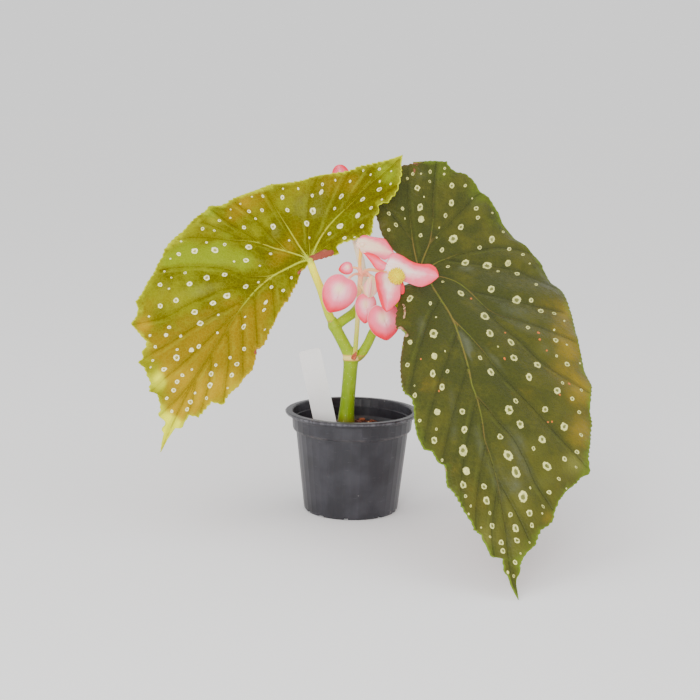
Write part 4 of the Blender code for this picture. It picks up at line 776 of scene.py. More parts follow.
def veinField(surface, pictured, leaf):
    # for each point the distance to the nearest vein, the same signed by its side, and how pale the vein is
    flat = surface["flat"].reshape(-1, 2)
    best = np.full(len(flat), 1e9)
    signed = np.zeros(len(flat))
    pale = np.zeros(len(flat))
    for points, strength, ends in leaf["veins"]:
        route = findOnBlade(surface, pictured, points)
        line = evenly(curveThrough(route, 6), max(4, int(runOf(route)[-1] / leafForm["veinStep"])))
        for first, second, start in zip(line, line[1:], runOf(line)):
            step = second - first
            size = np.linalg.norm(step)
            t = np.clip(((flat - first) @ step) / size ** 2, 0, 1)
            gap = flat - (first + t[:, None] * step)
            distance = np.linalg.norm(gap, axis=1)
            side = np.sign(step[0] * gap[:, 1] - step[1] * gap[:, 0])
            nearer = distance < best
            best = np.where(nearer, distance, best)
            signed = np.where(nearer, distance * np.where(side == 0, 1, side), signed)
            pale = np.where(nearer, strength * np.clip(1.15 - (start + t * size) / ends, 0, 1), pale)
    return best, signed, pale


def zoneField(seen, zones):
    # soft patches added up, round ones by a radius and long ones by two radii and a turn in degrees
    total = np.zeros(len(seen))
    for x, y, *size, amount in zones:
        long, short, turn = size if len(size) > 1 else (size[0], size[0], 0)
        c, s = math.cos(math.radians(turn)), math.sin(math.radians(turn))
        gap = (seen - (x, y)) @ np.array([[c, -s], [s, c]])
        total += amount * np.exp(-(gap[:, 0] / long) ** 2 - (gap[:, 1] / short) ** 2)
    return total


def addSpots(piece, leaf):
    # every face has the one spot nearest to its middle, and each of its corners the way from that spot in spot
    # radii, so that rings stay whole where spots crowd; spots are long in the direction away from the joint
    form = leafForm
    mesh = piece.data
    seen = np.empty(len(mesh.vertices) * 3, np.float32)
    mesh.attributes["seen"].data.foreach_get("vector", seen)
    loops = np.empty(len(mesh.loops), np.int32)
    mesh.loops.foreach_get("vertex_index", loops)
    sizes = np.empty(len(mesh.polygons), np.int32)
    mesh.polygons.foreach_get("loop_total", sizes)
    corners = seen.reshape(-1, 3)[loops, :2]
    starts = np.concatenate([[0], np.cumsum(sizes)[:-1]])
    middles = np.add.reduceat(corners, starts, axis=0) / sizes[:, None]
    spots = []
    for (left, top, scale), rows in leaf["spots"]:
        spots += [(left + x / scale, top + y / scale, width / scale, 1.0) for x, y, width in rows]
    spots = np.array(spots + [(x, y, width, -1.0) for x, y, width in leaf["nicks"]])
    count = len(spots)
    draw = np.random.default_rng(5)
    outward = spots[:, :2] - pictureOf(np.array(leaf["joint"]))
    turn = np.arctan2(outward[:, 1], outward[:, 0]) + draw.uniform(-form["spotTurn"], form["spotTurn"], count)
    stretch = draw.uniform(*form["spotStretch"], count) + zoneField(spots[:, :2], leaf["slants"])
    radius = np.maximum(spots[:, 2] / 2 * leaf["spotSize"], form["leastSpot"])
    first = np.column_stack([np.cos(turn), np.sin(turn)]) / (radius * stretch)[:, None]
    second = np.column_stack([-np.sin(turn), np.cos(turn)]) / (radius / stretch)[:, None]

    def inRadii(points, chosen):
        gap = points - spots[chosen, :2]
        return np.column_stack([np.sum(gap * first[chosen], axis=1), np.sum(gap * second[chosen], axis=1)])

    nearest = np.full(len(middles), 1e9)
    chosen = np.zeros(len(middles), int)
    for index in range(count):
        q = np.linalg.norm(inRadii(middles, np.full(len(middles), index)), axis=1)
        chosen = np.where(q < nearest, index, chosen)
        nearest = np.minimum(q, nearest)
    perCorner = np.repeat(chosen, sizes)
    away = np.column_stack([inRadii(corners, perCorner), np.zeros(len(corners))])
    away[np.repeat(nearest, sizes) > form["spotReach"]] = form["noSpot"]
    # kind is above zero for a spot and below it for a nick, and small spots stay without a dark heart
    kind = spots[:, 3] * draw.uniform(0.3, 1.0, count) * np.where(radius < form["smallSpot"], 0.5, 1.0)
    mesh.attributes.new("spot", "FLOAT_VECTOR", "CORNER").data.foreach_set("vector", away.ravel())
    mesh.attributes.new("kind", "FLOAT", "CORNER").data.foreach_set("value", kind[perCorner])
    mesh.attributes.remove(mesh.attributes["seen"])


def leafPiece(name, leaf):
    form = leafForm
    plain = leafSurface(leaf)
    pictured = pictureOf(inSpace(plain, plain["height"]))
    traced = {side: findBesideBlade(plain, pictured, leaf[side + "Outline"]) for side in ("narrow", "broad")}
    surface = leafSurface(leaf, traced)
    pictured = pictureOf(inSpace(surface, surface["height"]))
    shape = surface["height"].shape
    best, signed, pale = veinField(surface, pictured, leaf)
    margin = surface["margin"].reshape(-1)
    flat, seen = surface["flat"].reshape(-1, 2), pictured.reshape(-1, 2)
    curled = np.zeros(len(seen))
    for points, width in leaf["curls"]:
        line = evenly(curveThrough(points, 5), 30)
        gap = np.min(np.linalg.norm(seen[:, None] - line[None], axis=2), axis=1)
        curled = np.maximum(curled, 1 - smoothStep(gap, 0.55 * width, 1.45 * width))
    # the blade swells between its veins, most where they are far apart, and rolls up where it is curled
    room = smoothStep(margin, 0.0, form["flatRim"])
    swell = leaf["quilt"] * (1 - np.exp(-(best / form["valley"]) ** 2)) * room
    pucker = form["pucker"] * softNoise(flat, form["puckerWidth"], 2)
    pucker = pucker * (1 - np.exp(-(best / form["puckerGap"]) ** 2)) * room
    lift = (swell + pucker + form["curl"] * curled).reshape(shape)
    grid = inSpace(surface, surface["height"] + lift - form["sink"])
    turn = -1 if np.mean(gridNormals(grid) @ surface["axes"][2]) < 0 else 1
    fields = {
        "vein": np.column_stack([signed, 3 * np.maximum(0, best - form["nearVein"]), pale]),
        "seen": np.column_stack([seen, np.zeros(len(seen))]),
        "zones": np.column_stack([zoneField(seen, leaf[key]) for key in ("tones", "lights", "sheens")]),
        "margin": (surface["side"] * surface["margin"]).reshape(-1),
        "curled": curled,
    }
    fields = {key: field.reshape(shape + field.shape[1:])[:, ::turn] for key, field in fields.items()}
    piece = makePiece(name, *thickSheet(grid[:, ::turn], leaf["thickness"], fields))
    addSpots(piece, leaf)
    return piece


def leafMaterial(name, leaf):
    # olive with deep, gold and green patches, painted light and painted shade, a painted grey sheen, painted
    # shade in the grooves with a painted lit strip on their other side, veins, margin, ring spots and nicks
    c = leaf["colours"]
    s = Shader(name, {"Specular IOR Level": leaf["gloss"]})
    place = s.place()
    z = s.split(place)[2]
    broad = s.noise(place, 16 * mm, 3.0, 0.55)
    cloud = s.noise(place, 6.5 * mm, 3.0, 0.6)
    fine = s.noise(place, 3.2 * mm, 4.0, 0.6)
    grain = s.noise(place, 0.9 * mm, 3.0, 0.7)
    net = s.cells(place, 2.4 * mm, "DISTANCE_TO_EDGE")
    stir = 0.6 * (broad - 0.5) + 0.5 * (cloud - 0.5) + 0.25 * (fine - 0.5)
    tone, light, sheen = s.split(s.vector("zones"))
    # painted light from the lights zones, golden where the tone leans to gold
    bright = s.mix(s.step(tone + 0.5 * stir, 0.15, 0.6), c["bright"], c["goldBright"])

    signed, further, pale = s.split(s.vector("vein"))
    vein = abs(signed) + further
    # the grooves beside the veins get painted shade, darker on one side, and a painted lit strip on the other
    # side
    lean = s.step(signed, -2.5, 2.5)
    paintedLitSide = s.fall(abs(vein - 6.5) + 4.0 * (cloud - 0.5), 0.0, 6.5) * (1 - lean) * s.step(broad, 0.4, 0.65)
    line = s.mix(s.step(broad, 0.42, 0.6), c["vein"], c["veinWarm"])

    margin = s.number("margin")
    broadSide = s.step(margin, -0.6, 0.6)
    edge = abs(margin) + 1.4 * (fine - 0.5)
    low, high, lower, upper = (height * mm for height in leaf["rimBelow"] + leaf["rimAbove"])
    greenRim = s.step(broadSide + s.fall(z, low, high) + s.step(z, lower, upper), 0.0, 1.0)
    rim = s.mix(greenRim, c["narrowRim"], c["margin"])
    glow = s.fall(edge + 9 * (cloud - 0.5), 0.0, leaf["glowWidth"]) * (0.2 + 0.8 * s.step(broad, 0.42, 0.6))
    glow = glow * leaf["rimGlow"] * (0.45 + 0.55 * broadSide)

    kind = s.number("kind")
    wobble = s.vectorMaths("SUBTRACT", s.noise(place, 1.6 * mm, 2.0, output=1), (0.5, 0.5, 0.5))
    spot = s.length(s.vectorMaths("MULTIPLY_ADD", wobble, (0.7, 0.7, 0.7), s.vector("spot")))
    ring = s.fall(spot, 0.84, 1.0) * s.step(kind, 0.0, 0.05)
    hole = s.fall(spot + 0.4 * (fine - 0.5), 0.36, 0.58) * s.step(kind, 0.33, 0.37)
    mottle = s.step(grain, 0.45, 0.7) * s.step(-kind, -0.5, -0.4) * 0.5
    mark = s.mix(hole * 0.85 + mottle, c["ring"], c["heart"])
    nick = s.fall(spot, 0.7, 1.0) * s.step(-kind, 0.0, 0.05)

    face = s.layers(
        c["main"],
        # deep patches: a darker tone by noise, and painted shade where the lights fall below zero
        (s.step(0.65 * broad + 0.35 * cloud + 0.3 * fine - 0.6 * light, 0.46, 0.82) * 0.9, c["deep"]),
        (s.step(tone + stir, 0.10, 0.95), c["gold"]),
        (s.step(-0.8 * stir - tone, 0.08, 0.85), c["green"]),
        # painted light where the lights rise above zero
        (s.step(light + 0.5 * stir, 0.10, 1.0), bright),
        # painted grey sheen, standing in for the reflections of a glossy skin
        (s.step(sheen * (0.35 + 1.3 * cloud) + 0.3 * (fine - 0.5), 0.12, 0.8) * 0.6, c["sheen"]),
        # painted shade in the vein grooves, strongest on one side
        (s.fall(vein + 5.0 * (cloud - 0.5), 0.0, 8.5) * leaf["valley"] * (0.55 + 0.45 * lean), c["groove"]),
        # painted light on the other side of the veins
        (paintedLitSide * 0.2, c["vein"]),
        (s.fall(net, 0.0, 0.16) * 0.08, c["vein"]),
        (s.step(grain, 0.56, 0.8) * 0.12, c["groove"]),
        (s.fall(vein / (0.35 + 0.65 * pale), 0.3, 1.0) * s.step(pale, 0.0, 0.75), line),
        # painted shade along the sunken veins that are not pale
        (s.fall(vein, 0.1, 0.9) * s.fall(pale, 0.1, 0.6) * s.step(cloud, 0.3, 0.6) * 0.42, c["groove"]),
        (glow, rim),
        (s.fall(edge, 0.2, leaf["marginWidth"]) * 0.9, rim),
        (ring * (0.8 + 0.2 * s.step(fine, 0.4, 0.6)), mark),
        (nick, c["nick"]))

    turned = s.step(s.number("under"), 0.4, 0.6)
    curled = s.step(s.number("curled") + 0.7 * (fine - 0.5), 0.4, 0.6)
    under = s.layers(
        c["under"],
        (s.step(broad, 0.35, 0.7), c["underDeep"]),
        (s.fall(net, 0.0, 0.2) * 0.3, c["underVein"]),
        (s.fall(vein, 0.4, 1.3) * 0.8, c["underVein"]),
        (s.fall(abs(margin), 0.3, 1.6), c["margin"]),
        (curled * (1 - turned) * s.step(cloud, 0.35, 0.55), c["curl"]))
    skin = s.mix(s.step(turned + curled, 0.0, 1.0), face, under)
    roughness = leaf["roughness"] + 0.16 * fine + 0.12 * turned - 0.12 * sheen
    bump = s.step(net, 0.0, 0.3) * 0.6 + fine * 0.6 + grain * 0.3 - s.fall(vein, 0.0, 0.8) * 1.2 + ring * 0.35
    return s.connect(skin, roughness, bump, 0.3, 0.9)


for name, leaf, node in (("rightBlade", rightLeaf, "leaf_right"), ("leftBlade", leftLeaf, "leaf_left")):
    dress(leafPiece(name, leaf), leafMaterial(name, leaf), node)
    print("made", name)


# Cane, leaf stalks and flower stalks

# A line is its rows of x, y, z and radius, the curve points per row, then where rings are and their swelling.
# Shades are two heights, foot is one, a collar is a height and colour, upper two heights and a colour. A ball
# is its centre and radii.
flowerKnot = (3.8, -12, 160.6)
stems = {
    "caneSkin": {
        "node": "cane", "voxel": 0.42, "smoothing": 6, "balls": [],
        "lines": [
            ([(-5.4, 0, 12, 4.2), (-5.0, 0, 40, 5.2), (-4.4, 0, 54, 6.2), (-4.1, 0, 61, 5.6),
              (-3.5, 0, 71.5, 4.9), (-2.6, 0, 84, 4.8), (-1.9, 0, 95, 4.8), (-1.6, 0, 100.5, 5.1),
              (-1.6, 0, 103.2, 5.5), (-2.4, 0, 106, 4.9)], 10, [90.6], 0.5),
            ([(-1.6, 0, 102, 4.4), (-4.4, -0.5, 108.5, 4.1), (-8.3, -1.3, 116, 3.9), (-11.8, -2, 122.5, 3.9),
              (-13.3, -2.3, 125.6, 4.1), (-14.2, -2.6, 128, 3.4)], 10, [25.2], 0.35),
            ([(-12.5, -1.6, 124, 3.4), (-8.6, 0, 127, 3.3), (-4.4, 2.2, 129.8, 3.3), (0.3, 6, 133, 3.3),
              (4.6, 10, 139.6, 3.2), (6.4, 13.5, 150, 2.9), (4.6, 17, 163, 2.6), (0.4, 20, 178, 2.3),
              (-3, 22, 190, 2.0)], 8, [30, 55], 0.3)],
        "shades": (60, 128), "greens": ((0.175, 0.29, 0.002), (0.30, 0.45, 0.004), (0.42, 0.54, 0.03)),
        "foot": 58, "collar": (103.6, (1.0, 0.80, 0.26)), "upper": (134, 150, (1.0, 0.86, 0.62))},
    "leftLeafStalk": {
        "node": "leaf_stalk_left", "voxel": 0.3, "smoothing": 4,
        "balls": [((-29.1, -16.7, 169.0), (2.3, 2.1, 2.3))],
        "lines": [
            ([(-13.6, -2.4, 125.5, 2.9), (-15.6, -3.4, 130, 2.9), (-17.8, -5, 135.6, 2.8),
              (-21.9, -10, 149.3, 2.7), (-24.6, -12.8, 156.4, 2.6), (-27.2, -15.2, 163.2, 2.6),
              (-29.1, -16.7, 169.0, 2.5)], 8)],
        "shades": (125, 165), "greens": ((0.50, 0.64, 0.012), (0.96, 0.94, 0.03), (1.0, 0.98, 0.12)),
        "foot": 0, "collar": (126.5, colour(150, 160, 60)), "upper": (166, 170, (0.50, 0.55, 0.03))},
    "rightLeafStalk": {
        "node": "leaf_stalk_right", "voxel": 0.3, "smoothing": 4,
        "balls": [((46.4, -15.6, 160.2), (2.8, 2.6, 2.8))],
        "lines": [
            ([(-1.2, 0, 101.5, 3.2), (2.6, 0, 103.6, 3.4), (6.2, -0.3, 107.2, 3.3), (9.6, -1, 113.3, 3.1),
              (13.4, -3, 121.8, 3.1), (21.8, -7, 133.4, 3.0), (32.6, -11, 147.0, 2.8),
              (41.8, -14.4, 156.6, 2.7), (46.4, -15.6, 160.2, 2.6)], 8)],
        "shades": (105, 150), "greens": ((0.30, 0.44, 0.004), (0.26, 0.38, 0.006), (0.38, 0.50, 0.03)),
        "foot": 0, "collar": (103.2, colour(150, 150, 60))},
    # the cluster's own stalk, then those of the left, small, middle and right bud, the open flower, the pod
    # and the back flower
    "flowerStalk": {
        "node": "flower_stalk", "voxel": 0.28, "smoothing": 3, "balls": [(flowerKnot, (2.3, 2.2, 2.0))],
        "lines": [
            ([(0.6, -3.6, 104.4, 1.9), (1.1, -5.6, 108, 1.7), (1.8, -7.2, 119.5, 1.6), (2.3, -8.4, 130, 1.6),
              (3.0, -10, 146.5, 1.6), (3.8, -12, 160.6, 1.8)], 6),
            ([(3.6, -12, 160.0, 1.2), (0.4, -18.4, 161.4, 0.9), (-3.4, -22.6, 159.4, 0.9),
              (-5.8, -23.4, 155.6, 0.9)], 6),
            ([(3.8, -12, 161.0, 1.2), (1.2, -13.6, 164.6, 0.8), (-3.4, -14.5, 165.0, 0.8)], 6),
            ([(3.2, -11, 153.6, 1.1), (4.6, -14.6, 152.6, 0.9), (6.8, -16.2, 149.2, 0.9),
              (7.4, -16.5, 145.4, 0.9)], 6),
            ([(3.8, -12, 160.4, 1.3), (11.4, -8.4, 158.6, 1.1), (17.8, -13.0, 151.4, 1.0),
              (19.4, -22.0, 144.6, 1.0), (19.2, -25.6, 138.4, 1.1)], 6),
            ([(3.8, -12, 160.8, 1.3), (9.0, -21.4, 164.6, 1.1), (16.4, -31.2, 164.8, 1.1),
              (23.4, -36.8, 163.8, 1.2)], 6),
            ([(3.8, -12, 160.2, 1.1), (7.6, -16.6, 162.2, 0.9), (10.3, -19.2, 159.8, 0.9)], 6),
            ([(3.8, -12, 160.8, 1.3), (3.1, -13.4, 168.5, 1.1), (3.9, -15.4, 178.6, 1.2)], 6)]},
    "rearFlowerStalk": {
        "node": "rear_flower_stalk", "voxel": 0.28, "smoothing": 3, "balls": [],
        "lines": [([(-2.6, 21.8, 188.0, 1.4), (-4.6, 23, 197, 1.3), (-8.0, 25, 212.0, 1.3)], 6)]},
}


def ringed(rows, steps, places=(), size=0.0):
    # a stem's line with a ring at each place along it: the radius grows by a bell curve
    line = curveThrough(rows, steps)
    run = runOf(line[:, :3])
    for place in places:
        line[:, 3] += size * np.exp(-((run - place) / 1.3) ** 2)
    return line


def stemMaterial(name, looks):
    # green that shades upward, a brown foot, streaks along the stem, pale dots, a pale collar with rusty rims
    s = Shader(name, {"Specular IOR Level": 0.18, "Subsurface Weight": 0.08, "Subsurface Scale": 0.004})
    place = s.place()
    x, y, z = s.split(place)
    streak = s.noise(s.combine(x, y, z * 0.08), 0.9 * mm, 3.0, 0.6)
    blotch = s.noise(place, 7 * mm, 3.0)
    dots = s.cells(s.combine(x, y, z * 0.7), 1.9 * mm)
    (low, high), (main, higher, pale), foot = looks["shades"], looks["greens"], looks["foot"]
    collar, collarColour = looks["collar"]
    away = abs(z + 1.4 * mm * (blotch - 0.5) - collar * mm)
    coats = [
        (s.step(z, low * mm, high * mm), higher),
        (s.step(blotch, 0.45, 0.75) * 0.35, pale),
        (s.step(streak, 0.5, 0.75) * 0.3, pale),
        (s.fall(z + 4 * mm * (blotch - 0.5), (foot - 4) * mm, (foot + 9) * mm), colour(112, 74, 40)),
        (s.fall(away, 1.2 * mm, 2.4 * mm) * 0.85, collarColour),
        (s.fall(abs(away - 1.6 * mm), 0.0, 0.8 * mm) * 0.5, (0.80, 0.28, 0.08))]
    if "upper" in looks:
        begins, ends, upper = looks["upper"]
        coats.append((s.step(z, begins * mm, ends * mm), upper))
    skin = s.layers(main, *coats, (s.fall(dots, 0.10, 0.17) * 0.5, colour(208, 212, 140)))
    return s.connect(skin, 0.36 + 0.2 * streak, streak * 0.7 + s.step(dots, 0.05, 0.2) * 0.3, 0.12)


def flowerStalkMaterial(name):
    # pale green at the foot, turning to peach and pink where the flowers join
    s = Shader(name, {"Subsurface Weight": 0.15, "Subsurface Scale": 0.003, "Specular IOR Level": 0.2})
    place = s.place()
    z = s.split(place)[2]
    blotch = s.noise(place, 3 * mm, 3.0)
    skin = s.layers(
        (0.52, 0.60, 0.05),
        (s.step(z, 112 * mm, 150 * mm), (0.86, 0.70, 0.28)),
        (s.step(z + 6 * mm * (blotch - 0.5), 150 * mm, 160 * mm), (0.98, 0.44, 0.28)),
        (s.step(z, 163 * mm, 168 * mm), (1.0, 0.58, 0.07)),
        (s.step(blotch, 0.5, 0.8) * 0.5, (1.0, 0.26, 0.16)))
    return s.connect(skin, 0.4 + 0.1 * blotch, blotch, 0.1)


stalkMaterial = flowerStalkMaterial("flowerStalk")
for name, stem in stems.items():
    parts = [tubePart(ringed(*line)) for line in stem["lines"]] + [ballPart(*ball) for ball in stem["balls"]]
    piece = grownTogether(name, parts, stem["voxel"], stem["smoothing"])
    dress(piece, stemMaterial(name, stem) if "greens" in stem else stalkMaterial, stem["node"])
    print("made", name)


# Buds, flowers and seed pod

petalSkin = {"Subsurface Weight": 0.2, "Subsurface Scale": 0.003, "Specular IOR Level": 0.2}
# glow is a painted highlight near a bud's notch; white is a tepal's pale root and a painted highlight on a
# bud's rim
petalColours = {
    "pale": (1.0, 0.47, 0.54), "glow": (1.0, 0.84, 0.48), "pink": (1.0, 0.17, 0.26),
    "deep": (0.93, 0.018, 0.05), "white": (1.0, 0.78, 0.74), "peach": (1.0, 0.70, 0.50),
}
buds = {
    "leftBud": {"node": "left_bud", "centre": (-10.6, -23.5, 148.6), "tip": (-0.46, -0.02, -0.88),
                "face": (0.10, -0.98, 0.15), "length": 25.5, "width": 22.6, "thickness": 9.0,
                "blush": 0.06, "notch": 0.10, "taper": 0.17},
    "smallBud": {"node": "small_bud", "centre": (-6.0, -14.6, 164.4), "tip": (-0.97, -0.05, -0.22),
                 "face": (0.0, -0.98, 0.2), "length": 9.4, "width": 8.6, "thickness": 5.0,
                 "blush": 0.1, "notch": 0.08, "taper": 0.2},
    "middleBud": {"node": "middle_bud", "centre": (7.4, -16.6, 138.8), "tip": (-0.04, -0.05, -0.99),
                  "face": (0.2, -0.97, 0.05), "length": 19.5, "width": 14.5, "thickness": 6.5,
                  "blush": -0.02, "notch": 0.12, "taper": 0.16},
    "rightBud": {"node": "right_bud", "centre": (19.6, -26.0, 131.6), "tip": (0.15, 0.0, -0.98),
                 "face": (0.12, -0.98, 0.0), "length": 24.0, "width": 22.0, "thickness": 9.0,
                 "blush": 0.14, "notch": 0.22, "taper": 0.1},
}


def budPart(bud, rows=41, columns=72):
    # a heart drawn by an angle, filled from rim to middle, and domed on both faces; its rim is a thin keel
    tip, face, side = axesOf(bud["tip"], bud["face"])
    lat = np.linspace(-np.pi / 2, np.pi / 2, rows)[:, None]
    angle = anglesRound(columns)[None, :]
    across, along = np.sin(angle), np.cos(angle)
    taper = 1 - bud["taper"] * along
    point = 0.09 * np.exp(-(across / 0.3) ** 2) * (along > 0)
    notch = bud["notch"] * np.exp(-(across / 0.24) ** 2) * (along < 0)
    x, y = across * taper / 1.02, along + point + notch - 0.05
    reach = np.cos(lat) ** 0.9
    height = np.sign(np.sin(lat)) * np.abs(np.sin(lat)) ** 1.25 * (1 + 0.05 * np.sin(3 * angle + 1))
    grid = (np.array(bud["centre"]) + side * (x * reach * bud["width"] / 2)[..., None]
            + tip * (y * reach * bud["length"] / 2)[..., None]
            + face * (height * bud["thickness"] / 2)[..., None])
    return closedPart(grid, petal=stacked(y * reach, x * reach, reach))


def budMaterial(name, blush):
    # pale in the middle with a painted warm highlight near the notch, pink towards the rim, deepest at the
    # tip, fine veins, and a painted white highlight along the rim
    c = petalColours
    s = Shader(name, petalSkin)
    along, across, rim = s.split(s.vector("petal"))
    soft = s.noise(s.place(), 5 * mm, 2.0)
    lines = s.noise(s.combine(along * 0.9, across / (abs(along + 1.4) * 0.6 + 0.4) * 9, 0.0), 0.5, 3.0)
    depth = rim * 0.75 + s.step(along, -0.5, 1.1) * 0.42 + 0.22 * (soft - 0.5) + blush
    skin = s.layers(
        c["pale"],
        (s.step(depth, 0.26, 0.72), c["pink"]),
        (s.step(depth, 0.70, 1.16), c["deep"]),
        # painted warm highlight near the notch
        (s.fall(s.length(s.combine(along + 0.3, across - 0.12, 0.0)), 0.0, 0.5) * 0.7, c["glow"]),
        (s.step(lines, 0.52, 0.7) * 0.22, c["deep"]),
        # painted white highlight along the rim
        (s.step(rim, 0.965, 0.995) * 0.5, c["white"]))
    return s.connect(skin, 0.34 + 0.12 * soft, lines * 0.6 + soft * 0.4, 0.12)


for name, bud in buds.items():
    dress(makePiece(name, *budPart(bud)), budMaterial(name, bud["blush"]), bud["node"])
    print("made", name)


def tepalPart(root, tip, face, width, cup, curl, shape, blush=0.0, drift=0.0, lean=0.0, rows=34,
              columns=22, thickness=0.7):
    # a blade from root to tip: half width from two powers of the way along, or from rows of the way along and
    # the shares of the half width on either side; cupped across, curled along, with a frilled rim and crease
    start = np.array(root, float)
    reached = np.array(tip, float) - start
    length = np.linalg.norm(reached)
    along, face, side = axesOf(reached, face)
    u = np.linspace(0, 1, rows)[:, None]
    v = np.linspace(-1, 1, columns + 1)[None, :]
    if len(shape) == 2:
        widen, narrow = shape
        widest = widen / (widen + narrow)
        outline = (u / widest) ** widen * ((1 - u) / (1 - widest)) ** narrow
        share = np.where(u < widest, np.maximum(outline, 0.25), outline) + 0 * v
    else:
        table = curveThrough(shape, 12)
        below, above = (np.interp(u, table[:, 0], np.maximum(table[:, k], 0)) for k in (1, 2))
        share = np.where(v < 0, below, above)
    frill = 0.25 * np.sin(9 * u + 2 * v) * v ** 4 * share
    crease = -0.35 * np.exp(-(v / 0.12) ** 2) * (1 - u)
    height = cup * v ** 2 * share ** 2 + curl * u ** 2 - cup * 0.4 + frill + crease
    x, y = np.broadcast_arrays(u * length + 0 * v, width / 2 * share * v)
    grid = start + x[..., None] * along + y[..., None] * side + height[..., None] * face
    petal = stacked(u, v, np.abs(v) + 0 * u)
    beside = np.clip(-math.copysign(1, lean) * petal[..., 1], 0, 1)
    blushes = blush + drift * petal[..., 0] + abs(lean) * beside ** 2
    return thickSheet(grid, thickness, {"petal": petal, "blush": blushes})


def hubPart(centre, radius):
    points, quads, _ = ballPart(centre, (radius, radius, radius), 16, 24)
    count = len(points)
    return points, quads, {"petal": np.zeros((count, 3)), "blush": np.zeros(count), "under": np.zeros(count)}


def petalMaterial(name, shift, root):
    # pale at the root, pink towards rim and tip, with fine veins that run along the petal
    c = petalColours
    s = Shader(name, petalSkin)
    along, across, rim = s.split(s.vector("petal"))
    soft = s.noise(s.place(), 5 * mm, 2.0)
    lines = s.noise(s.combine(along * 1.2, across * 7, 0.0), 0.5, 3.0)
    depth = rim * 0.42 + along * 0.75 + 0.3 * (soft - 0.5) + s.number("blush") + shift
    skin = s.layers(
        c[root],
        (s.step(depth, 0.22, 0.62), c["pink"]),
        (s.step(depth, 0.6, 1.02), c["deep"]),
        (s.step(lines, 0.5, 0.72) * 0.28, c["deep"]))
    return s.connect(skin, 0.36 + 0.12 * soft, lines * 0.7 + soft * 0.3, 0.14)


# shapes: the way along, then the shares of the half width on the two sides
flagShape = [(0, 0.25, 0.15), (0.05, 0.85, 0.4), (0.09, 1.03, 0.55), (0.25, 0.96, 0.75), (0.45, 0.68, 0.84),
             (0.61, 0.61, 0.95), (0.72, 0.68, 0.95), (0.8, 0.73, 0.8), (0.88, 0.64, 0.58), (0.93, 0.5, 0.36),
             (0.975, 0.25, 0.15), (1, 0, 0)]
flapShape = [(0, 0.5, 0.45), (0.1, 0.8, 0.5), (0.27, 0.98, 0.52), (0.55, 0.62, 0.66), (0.77, 0.28, 0.54),
             (0.9, 0.12, 0.38), (1, 0, 0)]
fanShape = [(0, 0.35, 0.3), (0.12, 0.65, 0.5), (0.25, 0.82, 0.6), (0.46, 0.92, 0.68), (0.67, 1.0, 0.76),
            (0.81, 0.66, 0.84), (0.93, 0.3, 0.5), (1, 0, 0)]
tongueShape = [(0, 0.7, 0.8), (0.15, 0.8, 1.25), (0.35, 0.82, 1.12), (0.6, 0.86, 0.85), (0.8, 0.52, 0.55),
               (0.93, 0.3, 0.3), (1, 0, 0)]
# a tepal's row is its root, tip and face, its width, cup and curl, its shape, and its blush, drift and lean
flowers = {
    "openFlower": {
        "node": "open_flower_tepals", "hub": ((25.8, -37.6, 163.4), 3.3), "shift": 0.08, "root": "white",
        "tepals": [
            ((19.4, -37.6, 169.0), (53.0, -43.0, 163.6), (0.05, -1.0, 0.1), 18.0, 1.6, 1.2, flagShape,
             -0.12, -0.1, 0.38),
            ((23.0, -38.4, 163.8), (19.8, -56.0, 142.2), (0.15, -1.0, -0.05), 17.0, 2.0, 1.5, tongueShape,
             -0.06, -0.15, -0.45),
            ((19.7, -37.0, 168.4), (5.2, -35.0, 176.6), (-0.1, -1.0, -0.1), 9.2, 1.0, -0.4, flapShape,
             0.34, -0.35),
            ((26.8, -38.2, 162.0), (30.4, -41.0, 151.6), (0.2, -1.0, 0.0), 5.0, 1.0, 1.0, (0.5, 0.5), 0.2)]},
    "backFlower": {
        "node": "back_flower", "hub": ((4.6, -16.4, 180.4), 2.0), "shift": -0.02, "root": "peach",
        "tepals": [
            ((4.2, -15.4, 180.0), (9.4, -16.4, 185.0), (0.1, -1.0, 0.1), 9.0, 1.0, 0.6, (0.4, 0.5),
             0.12, -0.3),
            ((0.8, -17.0, 181.8), (25.0, -20.0, 175.6), (0.0, -1.0, 0.1), 14.0, 1.6, 1.2, fanShape,
             -0.07, -0.25, 0.22),
            ((4.6, -16.4, 180.4), (8.0, -18.5, 174.4), (0.2, -0.9, 0.3), 6.5, 0.8, 0.6, (0.5, 0.5),
             -0.2, -0.4)]},
    "rearFlower": {
        "node": "rear_flower", "hub": ((-8.6, 25.8, 213.6), 2.4), "shift": 0.05, "root": "white",
        "tepals": [
            ((-8.6, 26.2, 214.0), (-12.0, 24.6, 229.4), (0.0, 1.0, 0.1), 12.0, 1.8, 1.0, (0.45, 0.5), -0.1),
            ((-9.0, 26.2, 213.6), (-25.0, 32.0, 206.0), (0.0, 1.0, -0.1), 13.0, 1.8, 1.0, (0.45, 0.5), 0.1),
            ((-8.2, 26.2, 213.4), (4.0, 32.0, 202.0), (0.1, 1.0, 0.0), 13.0, 1.8, 1.0, (0.45, 0.5), 0.1)]},
}

for name, flower in flowers.items():
    parts = [tepalPart(*row) for row in flower["tepals"]] + [hubPart(*flower["hub"])]
    material = petalMaterial(name, flower["shift"], flower["root"])
    dress(makePiece(name, *joinParts(parts)), material, flower["node"])
    print("made", name)


stamenLooks = {"centre": (26.3, -44.2, 163.5), "radius": 5.9, "count": 110, "anther": (0.46, 1.15)}


